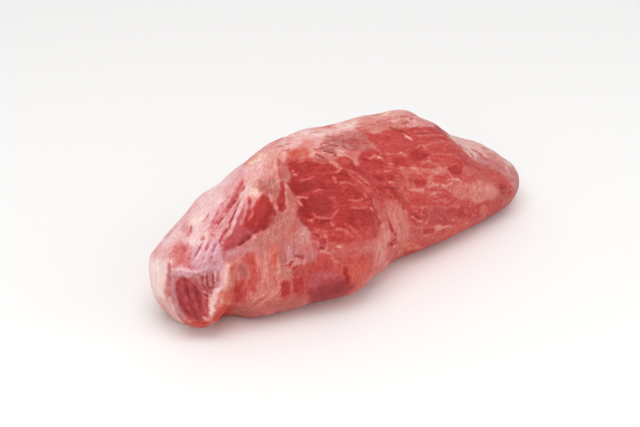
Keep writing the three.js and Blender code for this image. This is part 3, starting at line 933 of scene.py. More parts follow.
# The large bare muscle, its threads, knots and dark cells, and the mottled fat above it.
LEAN_FACE = (
    Patch("lean, upper cell", Tissue.LEAN, Grain.FIELD, (288, 164, 296, 161, 306, 161, 316, 161, 322, 164,
        330, 163, 335, 163, 338, 169, 330, 172, 322, 172, 314, 177, 302, 180, 293, 178, 290, 171), 1,
        soft=0.8, ragged=1),
    Patch("lean, dark corner", Tissue.DEEP, Grain.FIELD, (289, 182, 300, 181, 312, 180, 316, 184, 308, 190,
        297, 194, 292, 188), 1, soft=1.2, ragged=1),
    Patch("lean, dark middle", Tissue.DEEP, Grain.FIELD, (303, 199, 312, 194, 330, 195, 332, 204, 328, 213,
        318, 218, 306, 219, 299, 216, 299, 210, 304, 206), 0.75, ragged=1.5),
    Patch("lean, mid", Tissue.LEAN, Grain.FIELD, (320, 178, 334, 176, 350, 186, 364, 190, 362, 198, 348, 199,
        336, 206, 330, 196, 316, 192), 0.8, web=0.4),
    Patch("lean, bright right", Tissue.BRIGHT, Grain.FIELD, (350, 172, 366, 176, 382, 186, 382, 198, 364, 194,
        352, 184), 0.8, web=0.6),
    Stroke(Tissue.DUSTY, (286, 160, 296, 157, 306, 157), 2, soft=1, ragged=1.8),
    Stroke(Tissue.DUSTY, (286, 163, 286, 172), 1, 0.7, soft=1, ragged=1.5),
    # The next two dark strokes are painted shade: where the lean lies below the sheet at its left edge, and
    # along the lower edge of the dull flap.
    Stroke(Tissue.MURK, (288, 182, 292, 188, 296, 193), 0.8, 0.75),
    Stroke(Tissue.MURK, (303, 207, 298, 211, 298, 217, 303, 222, 307, 226), 0.8, 0.5),
    Stroke(Tissue.PALE, (293, 169, 294, 173, 297, 174), 0.5),
    Stroke(Tissue.PALE, (297, 197, 303, 196, 307, 197), 0.7, ragged=1.2),
    Stroke(Tissue.PALE, (299, 201, 303, 205), 0.7, ragged=1.2),
    Patch("grey fat", Tissue.TAN, Grain.FIELD, (321, 147, 325, 139, 334, 135, 350, 131, 366, 133, 373, 140,
        375, 150, 366, 151, 352, 150, 338, 150, 332, 154, 324, 155), 0.95, soft=2.4, ragged=4),
    Stroke(Tissue.MURK, (318, 144, 326, 142.5, 336, 145, 346, 140, 354, 137), 0.8, 0.6, ragged=2.6),
    Stroke(Tissue.BROWN, (330, 139, 340, 138, 350, 143, 360, 148), 1, ragged=2.6),
    Stroke(Tissue.FAT, (312, 147, 322, 146, 334, 142, 344, 148), ragged=2.2),
    Stroke(Tissue.BROWN, (312, 151, 318, 149, 324, 147), 1.4, ragged=2.4),
    Patch("pale fat left of the strand", Tissue.TAN, Grain.FIELD, (312, 156, 318, 152, 326, 156, 332, 160,
        322, 162, 313, 160), 0.6, soft=1),
    Patch("rose patch in the fat", Tissue.ROSE, Grain.FIELD, (348, 141, 353, 138, 366, 138, 368, 143,
        360, 145, 350, 145), 0.8, soft=1, ragged=1.5),
    Patch("dark rose by the crest", Tissue.DUSTY, Grain.FIELD, (356, 126, 366, 127, 374, 133, 366, 133,
        358, 130), soft=1),
    Patch("pale island", Tissue.PALE, Grain.FIELD, (336, 149, 345, 150, 354, 150, 363, 150, 360, 155,
        358, 158, 361, 165, 356, 166, 352, 159, 346, 156, 340, 156, 337, 159), 0.7, soft=0.8, ragged=1.2),
    Stroke(Tissue.FAT, (338, 156, 346, 155, 353, 159, 357, 164), 0.6, 0.7),
    Stroke(Tissue.FAT, (338, 149, 344, 153), 0.8, 0.6),
    Patch("window", Tissue.BRIGHT, Grain.FIELD, (339, 158, 345, 156.5, 351, 160, 351, 163, 344, 165,
        340, 162), 1, soft=0.7, ragged=0.7),
    Patch("smudge in the grey fat", Tissue.BROWN, Grain.FIELD, (322, 148, 330, 147, 336, 150, 338, 155,
        335, 158, 330, 152, 324, 152), 0.95, soft=1, ragged=3),
    Stroke(Tissue.CREVICE, (316, 153, 321, 156, 325, 158), 0.7),
    Stroke(Tissue.MURK, (324, 140, 329, 141), 0.8, 0.6, ragged=1),
    Stroke(Tissue.MURK, (340, 134, 344, 135), 0.7, 0.7),
    Stroke(Tissue.MURK, (355, 134, 359, 134), 0.6, 0.7),
    Stroke(Tissue.MURK, (324, 150, 332, 152), 0.9, 0.6),
    Stroke(Tissue.MURK, (333, 151, 337, 155), 0.8, 0.6),
    Stroke(Tissue.BROWN, (356, 138, 366, 141), 1.2, 0.6),
    Stroke(Tissue.MURK, (342, 144, 348, 148), 0.55),
    Stroke(Tissue.SALMON, (294, 163, 300, 161, 308, 160, 316, 160, 322, 162, 330, 163), 0.7, 0.7, ragged=0.9),
    Stroke(Tissue.SALMON, (318, 149, 325, 154, 331, 160, 337, 164, 343, 168), 2, 0.95, ragged=0.9),
    Stroke(Tissue.SALMON, (343, 167, 350, 170, 357, 173, 363, 178, 370, 184), 0.9, 0.85, ragged=0.7),
    Stroke(Tissue.SALMON, (342, 169, 337, 172, 330, 173, 323, 174), 0.55, 0.9, ragged=0.6),
    Stroke(Tissue.PALE, (300, 181, 307, 178.5, 314, 176), 0.6, 0.85),
    Stroke(Tissue.DEEP, (317, 184, 326, 186, 336, 185), 2.4, 0.6, soft=1.5, ragged=2),
    Stroke(Tissue.SALMON, (340, 182.5, 346, 181, 353, 184), 0.55),
    Stroke(Tissue.SALMON, (334, 176, 337, 183), 0.7, 0.75),
    Stroke(Tissue.SALMON, (312, 192, 318, 189.5, 324, 189.5, 328, 192)),
    Stroke(Tissue.SALMON, (348, 200, 355, 201, 361, 199.5, 367, 196), 0.7, 0.75, ragged=0.6),
    Stroke(Tissue.SALMON, (364, 193, 367, 198), 0.8, 0.75),
    Stroke(Tissue.SALMON, (329, 198, 335, 196.5), 0.5, 0.7),
    Stroke(Tissue.PINK, (346, 170, 356, 178, 366, 187, 376, 197, 382, 204), 0.8, 0.65),
    Stroke(Tissue.SALMON, (374, 198, 375, 206), 0.8),
    Patch("dark cell behind the threads", Tissue.BRIGHT, None, (350, 202, 362, 202, 371, 200, 374, 205,
        362, 206, 352, 206), 0.8, soft=1),
    Stroke(Tissue.DEEP, (372, 176, 384, 177, 402, 176), 2.6, 0.75, soft=2, ragged=2),
    Stroke(Tissue.DEEP, (376, 189, 388, 188, 399, 190), 2.2, 0.6, soft=2, ragged=2),
    Patch("red field at the top", Tissue.LEAN, Grain.FIELD, (360, 152, 372, 150, 384, 156, 386, 168, 372, 170,
        362, 166), 0.7, web=0.4),
    Stroke(Tissue.SALMON, (380, 153, 390, 153.5, 402, 153), 0.7, 0.9, ragged=0.7),
    Stroke(Tissue.PALE, (401, 151.5, 407, 156), 0.6, 0.9),
    Stroke(Tissue.SALMON, (368, 140, 374, 146, 382, 152), 0.9, 0.85),
    Stroke(Tissue.SALMON, (369, 158, 376, 155, 382, 158, 385, 163), 0.8),
    Stroke(Tissue.SALMON, (384, 171.5, 392, 170, 402, 168.5), 0.6, 0.85),
    Stroke(Tissue.FAT, (377, 156.5, 381, 158), 0.8),
    # Painted highlight: a small glint on the lean.
    Stroke(Tissue.FAT, (389, 162, 394, 164), 0.8, 0.95),
    Stroke(Tissue.MURK, (381, 184, 389, 187, 397, 188), 0.5, 0.6),
    Stroke(Tissue.PALE, (389, 181, 396, 182, 403, 184), 0.7, 0.9),
)

# The oval bare muscle in front, with the pit, arcs and bright spots round it.
LENS = (
    Patch("lens", Tissue.LEAN, Grain.FIELD, (336, 214, 342, 210.5, 352, 210, 362, 210, 371, 211, 377, 215,
        380, 222, 379, 229, 375, 236, 366, 239, 358, 238, 352, 234, 345, 230, 339, 228, 335, 222), 1,
        soft=0.7, ragged=0.4),
    Patch("dusty left of the lens", Tissue.DUSTY, Grain.FIELD, (320, 229, 334, 229, 342, 231, 350, 234,
        350, 241, 334, 240, 322, 238), 0.6, ragged=2.5, web=0.5),
    Patch("lens's rosy end", Tissue.BRIGHT, Grain.FIELD, (348, 232, 362, 228, 378, 224, 379, 232, 374, 240,
        356, 244), soft=2.5, ragged=1.5),
    Stroke(Tissue.BROWN, (374, 214, 377.5, 221, 377, 229, 373, 236), 1.3, 0.45, soft=1.5),
    Stroke(Tissue.SALMON, (350, 207, 361, 208, 371, 208), 0.7, 0.75),
    Stroke(Tissue.PALE, (371, 208, 377, 212, 381, 218)),
    # Painted shade: the dark line under the thread, along the lens's upper edge.
    Stroke(Tissue.DEEP, (352, 210.5, 364, 211, 373, 213, 378, 218), 0.6, 0.6),
    Stroke(Tissue.SALMON, (331.5, 220, 333, 214, 338, 210), 0.6, 0.7),
    Stroke(Tissue.SALMON, (317, 216.5, 324, 218, 331, 219), 0.5, 0.75),
    # Painted shade: the dark line below the strand above it.
    Stroke(Tissue.MURK, (318, 220.5, 331, 220.8), 0.5),
    Stroke(Tissue.PINK, (312, 212, 316, 217, 311, 221), 0.6, 0.7),
    Stroke(Tissue.PALE, (327, 222, 331.5, 222.5, 334, 226), 0.5, 0.75),
    Patch("pit", Tissue.DUSTY, None, (311, 226, 316, 227, 324, 231, 328, 240, 326, 250, 316, 250, 311, 240),
        0.4, soft=1.2, web=0.3),
    Patch("pit's pink foot", Tissue.ROSE, None, (314, 243, 322, 240, 334, 242, 336, 252, 324, 254, 314, 252),
        0.75, soft=1.5),
    Stroke(Tissue.MURK, (315, 233, 319, 236), 1.1, 0.9, ragged=1),
    Stroke(Tissue.MURK, (311.5, 229, 313, 232), 0.7),
    Stroke(Tissue.MURK, (317, 247, 324, 248.5), ragged=1),
    Stroke(Tissue.MURK, (322, 241, 326, 243), 0.7, 0.7, ragged=1),
    Stroke(Tissue.SALMON, (312, 223, 315, 229, 320, 230.5), 0.55, 0.75),
    Stroke(Tissue.SALMON, (313, 232, 319, 233, 322, 237), 0.5, 0.75),
    Stroke(Tissue.PALE, (325, 236, 329, 240)),
    Stroke(Tissue.STRAND, (328, 240, 327, 250)),
    Stroke(Tissue.PALE, (308, 219.5, 313, 221), 0.6, 0.7),
    Stroke(Tissue.STRAND, (313, 240, 319, 243, 318, 250), 0.6, 0.7),
    Stroke(Tissue.SALMON, (318, 225, 322, 230, 327, 232), 0.5, 0.7),
    Stroke(Tissue.SALMON, (334, 229.5, 342, 230, 348, 232, 353, 237), 0.55, 0.75),
    Stroke(Tissue.PINK, (346, 224, 354, 230, 361, 238), 0.5),
    Stroke(Tissue.PINK, (344, 232, 351, 238, 356, 244), 0.5, 0.6),
    Patch("lean under the arcs", Tissue.LEAN, Grain.FIELD, (330, 231, 343, 233, 350, 239, 348, 245, 338, 244,
        331, 240), 0.35, soft=1.5),
    Patch("rosy under the lens", Tissue.DUSTY, Grain.FIELD, (328, 240, 340, 243, 356, 242, 362, 240, 360, 256,
        340, 262, 330, 254), 0.85),
    # Painted highlights: two small glints under the lens.
    Stroke(Tissue.FAT, (338, 246.5, 342.5, 247)),
    Stroke(Tissue.PALE, (333, 249, 334, 251.5), 0.7, 0.85),
    Stroke(Tissue.PALE, (317, 252, 324, 251, 330, 254, 334, 260, 339, 263), 0.6, 0.85),
    Patch("lean in that arc", Tissue.BRIGHT, Grain.BELLY, (316, 256, 326, 254, 332, 260, 332, 271, 322, 273,
        313, 268), 0.7, soft=1.4),
    Stroke(Tissue.LEAN, (325, 264, 327, 272), 1.1, soft=1.3),
    Stroke(Tissue.PLUM, (312, 259, 315, 266), 0.9, 0.7, soft=1),
    Patch("dull patch below the lens", Tissue.RUST, Grain.BAND, (360, 243, 368, 239, 376, 240, 377, 252,
        370, 256, 362, 254), 0.5, soft=1.8),
)

# The pale band between the lens and the thin end, and the cracked sheet beside it.
BAND = (
    Patch("top of the band", Tissue.SALMON, Grain.BAND, (372, 199, 378, 199, 383, 208, 390, 214, 391, 226,
        382, 228, 381, 217, 376, 210), 0.6, soft=0.9, ragged=1.2),
    Patch("band", Tissue.PALE, Grain.BAND, (380, 227, 384, 221, 389, 222, 391, 234, 390, 246, 388, 256,
        383, 262, 377, 268, 373, 268, 376, 256, 378, 246, 378, 236), 0.65, soft=0.9, ragged=0.8),
    Patch("sheet right of the band", Tissue.SALMON, Grain.BAND, (386, 202, 396, 198, 402, 206, 407, 211,
        410, 222, 414, 232, 417, 242, 408, 244, 398, 241, 393, 232, 389, 222), 0.95, soft=1.8, ragged=3),
    Patch("rust at the sheet's top", Tissue.RUST, Grain.BAND, (378, 199, 396, 198, 398, 210, 392, 216,
        384, 214), 0.5),
    Patch("lean under the sheet", Tissue.LEAN, Grain.FIELD, (391, 191, 400, 189, 402, 196, 400, 200,
        394, 198), soft=0.9),
    Stroke(Tissue.CREVICE, (390, 223, 392.5, 229, 395.5, 235, 396.5, 240, 394, 241.5), 0.6, 0.95),
    Stroke(Tissue.LEAN, (389, 218, 392, 226, 394, 232), 0.6, 0.7),
    Stroke(Tissue.MURK, (386.5, 212, 388, 218), 0.5, 0.7),
    Stroke(Tissue.LEAN, (380, 202, 382.5, 208), 0.7, 0.7),
    Stroke(Tissue.PALE, (393.5, 226, 398, 236), 0.6, 0.7),
    Stroke(Tissue.DUSTY, (397, 212, 400, 224, 404, 236), 1, 0.6, soft=1.3, ragged=1.2),
    Stroke(Tissue.AMBER, (380, 252, 378, 262, 374, 268), 2.4, soft=1.4),
    Patch("crumbs", Tissue.DUSTY, Grain.BAND, (388, 243, 396, 244, 404, 249, 406, 256, 394, 261, 387, 260),
        0.95, soft=1, ragged=2.5, web=0.6),
    Stroke(Tissue.MURK, (390, 244, 394, 245)),
    Stroke(Tissue.PALE, (394, 247, 398, 245), 0.7, 0.9),
    Stroke(Tissue.PALE, (391, 251, 393, 257), 0.7, 0.7),
    Patch("amber foot", Tissue.AMBER, Grain.BAND, (400, 242, 414, 240, 420, 245, 408, 254, 400, 252), 0.6,
        soft=1.4),
    Stroke(Tissue.PALE, (413, 243, 417, 246, 417, 250), 0.8),
    Patch("amber end of the belly", Tissue.AMBER, Grain.BAND, (349, 266, 362, 262, 373, 264, 366, 278,
        352, 288, 349, 278), 0.7, soft=1.8),
)

# The hanging front below: columns and windows of fat, red slots and the slanting low hem.
BELLY = (
    Patch("lilac border", Tissue.MAUVE, Grain.BELLY, (224, 252, 232, 249, 239, 247, 246, 243, 253, 239,
        262, 236, 262, 246, 252, 252, 244, 256, 238, 260, 230, 264, 224, 262), 0.85, soft=1.2),
    Stroke(Tissue.SILVER, (226, 253, 234, 253, 242, 249), 1.6, 0.6, soft=1.4, ragged=1.5),
    Stroke(Tissue.MAUVE, (229, 258, 238, 255, 250, 247), 1.2, ragged=2),
    Patch("peach strip", Tissue.PEACH, Grain.BELLY, (226, 262, 231, 264, 231, 280, 228, 292, 225, 290,
        226, 276), 0.65, soft=1.1),
    Patch("salmon strip", Tissue.RUST, Grain.BELLY, (231, 264, 238, 262, 238, 280, 234, 292, 229, 292), 0.6,
        soft=1.4),
    Stroke(Tissue.LEAN, (231.5, 268, 232.5, 278), 0.5, 0.6, ragged=1.2),
    Patch("amber stripe", Tissue.BRICK, Grain.BELLY, (242, 258, 247, 253, 252, 251, 255, 256, 256, 264,
        258, 272, 258, 281, 253, 284, 250, 276, 247, 266, 243, 263), 0.8, soft=1.2, ragged=1.8),
    Stroke(Tissue.HOT, (251, 254, 253, 266, 255, 278), 0.9, 0.35, soft=1.2, ragged=1.2),
    Patch("mauve stripe", Tissue.BROWN, Grain.BELLY, (239, 262, 246, 265, 249, 272, 249, 279, 240, 278), 0.95,
        soft=1.5),
    Patch("red belly, left", Tissue.BRIGHT, Grain.BELLY, (236, 281, 243, 279, 250, 281, 258, 283, 257, 292,
        249, 292, 246, 300, 242, 304, 236, 305, 232, 299, 235, 291), soft=1.6, ragged=3),
    Stroke(Tissue.LEAN, (238, 286, 238, 296, 234, 303), 1.7, 0.9, soft=1.2, grain=Grain.BELLY),
    Stroke(Tissue.SALMON, (246, 281, 248, 290, 246, 300), 0.5, 0.6),
    Patch("pale column", Tissue.SALMON, Grain.BELLY, (257, 240, 264, 242, 268, 250, 270, 262, 270, 276,
        272, 288, 266, 299, 258, 305, 252, 304, 259, 296, 260, 286, 259, 274, 258, 260, 255, 248), 0.5,
        soft=1.4),
    Patch("grey head of the column", Tissue.TAN, Grain.FALL, (254, 242, 264, 234, 272, 234, 270, 248,
        266, 260, 258, 256), 0.95),
    Patch("amber column", Tissue.AMBER, Grain.BELLY, (269, 244, 275, 244, 278, 254, 277, 268, 272, 270,
        270, 258), 0.65, soft=1.8, ragged=1.6),
    Stroke(Tissue.HOT, (274, 254, 274.5, 263), 1, 0.6, soft=1),
    Patch("salmon column", Tissue.RUST, Grain.BELLY, (271, 268, 280, 266, 281, 280, 276, 290, 270, 284), 0.5,
        soft=1.4),
    Stroke(Tissue.PALE, (279, 238, 279.5, 254, 278.5, 268, 277.5, 280), 0.55),
    Stroke(Tissue.PALE, (266, 250, 265, 268, 263, 284), 0.7, 0.7),
    Stroke(Tissue.BROWN, (270, 262, 269, 276), 0.5, 0.7),
    Stroke(Tissue.BRIGHT, (259, 268, 260, 284), 0.5, 0.6),
    Stroke(Tissue.BROWN, (268, 234, 269, 248), 0.8, 0.6, soft=0.9),
    Patch("lilac window", Tissue.HAZE, Grain.FALL, (284, 246, 289, 243, 293, 250, 293, 258, 290, 265,
        284, 264, 282, 254), 0.7),
    Stroke(Tissue.SILVER, (288.5, 246, 289.5, 254), 0.9, 0.5, soft=1),
    Stroke(Tissue.PLUM, (284, 265, 289, 266, 294, 261), ragged=1),
    Patch("tan beside the window", Tissue.TAN, Grain.FALL, (279, 240, 285, 240, 283, 256, 284, 268, 290, 270,
        292, 278, 282, 278, 280, 262), soft=1.5),
    Stroke(Tissue.BROWN, (282, 236, 282, 252, 283, 266), 2.4, 0.7, soft=1.4, ragged=2, grain=Grain.FALL),
    Patch("rosy mottle", Tissue.MAUVE, Grain.FALL, (295, 246, 312, 250, 318, 256, 314, 262, 300, 264,
        294, 260), 0.7, soft=1.4, ragged=3.5, web=0.4),
    Stroke(Tissue.PLUM, (295, 256, 300, 256, 304, 258), 0.7, 0.7, ragged=1.6),
    Patch("red belly, right top", Tissue.BRICK, Grain.BELLY, (293, 267, 300, 265.5, 310, 263, 318, 268,
        318, 277, 310, 284, 303, 282, 297, 281, 293, 274), soft=1.4),
    Stroke(Tissue.DEEP, (294.5, 268, 298, 267.5), 0.9, 0.9),
    Patch("red belly, middle", Tissue.LEAN, Grain.BELLY, (280, 282, 287, 280, 291, 282, 292, 294, 290, 303,
        284, 304, 280, 294), soft=1.4),
    Patch("red belly, right", Tissue.LEAN, Grain.BELLY, (292, 279, 305, 277, 308, 288, 305, 298, 297, 300,
        292, 294), 0.95, soft=1.5),
    Stroke(Tissue.SALMON, (291, 278, 292, 290, 291, 300), 0.5, 0.6),
    Stroke(Tissue.PALE, (280, 281, 280.5, 296)),
    Stroke(Tissue.SALMON, (305, 280, 306, 292, 303, 300), 0.6, 0.7),
    Patch("mauve low belly", Tissue.ROSE, Grain.SLANT, (308, 276, 320, 272, 336, 272, 344, 278, 342, 290,
        320, 292, 306, 294), soft=2.6),
    Stroke(Tissue.ROSY, (316, 276, 326, 274, 334, 278), 2.2, 0.25, soft=2.2, ragged=1.5),
    # Painted shade: the low belly, where it turns under towards the floor, is painted darker.
    Patch("dark low belly", Tissue.PLUM, Grain.SLANT, (308, 292, 326, 284, 346, 280, 354, 286, 346, 298,
        310, 310), 0.8, soft=3.5),
    Stroke(Tissue.MURK, (316, 297, 330, 294, 344, 288), 2, 0.6, soft=2),
    Stroke(Tissue.DEEP, (346, 268, 347.5, 277, 347.5, 285), 1.4, 0.95, soft=1),
    Patch("slanting field", Tissue.SALMON, Grain.SLANT, (244, 305, 260, 297, 268, 290, 276, 288, 278, 298,
        270, 306, 256, 311, 244, 311), 0.8, soft=1.4),
    Patch("rust of the low belly", Tissue.RUST, Grain.SLANT, (240, 304, 252, 300, 262, 304, 276, 300,
        290, 296, 304, 292, 308, 300, 290, 308, 262, 312, 240, 311), 0.85, soft=1.6, ragged=2.5),
    Stroke(Tissue.PALE, (248, 304, 260, 297, 270, 290), 0.7, 0.7),
    Stroke(Tissue.PALE, (257, 306, 268, 299, 277, 292), 0.7, 0.7),
    Stroke(Tissue.BROWN, (250, 307, 258, 303, 264, 299), 0.5, 0.7),
    Stroke(Tissue.BROWN, (266, 305, 274, 300, 280, 294), 0.5, 0.7),
    Patch("low hem", Tissue.BROWN, Grain.SLANT, (274, 307, 286, 302, 302, 298, 304, 304, 288, 313, 274, 318),
        0.8, soft=1.6),
    Patch("rosy hem", Tissue.BROWN, Grain.SLANT, (232, 308, 250, 311, 266, 312, 268, 324, 232, 322), 0.8,
        soft=1.6),
)

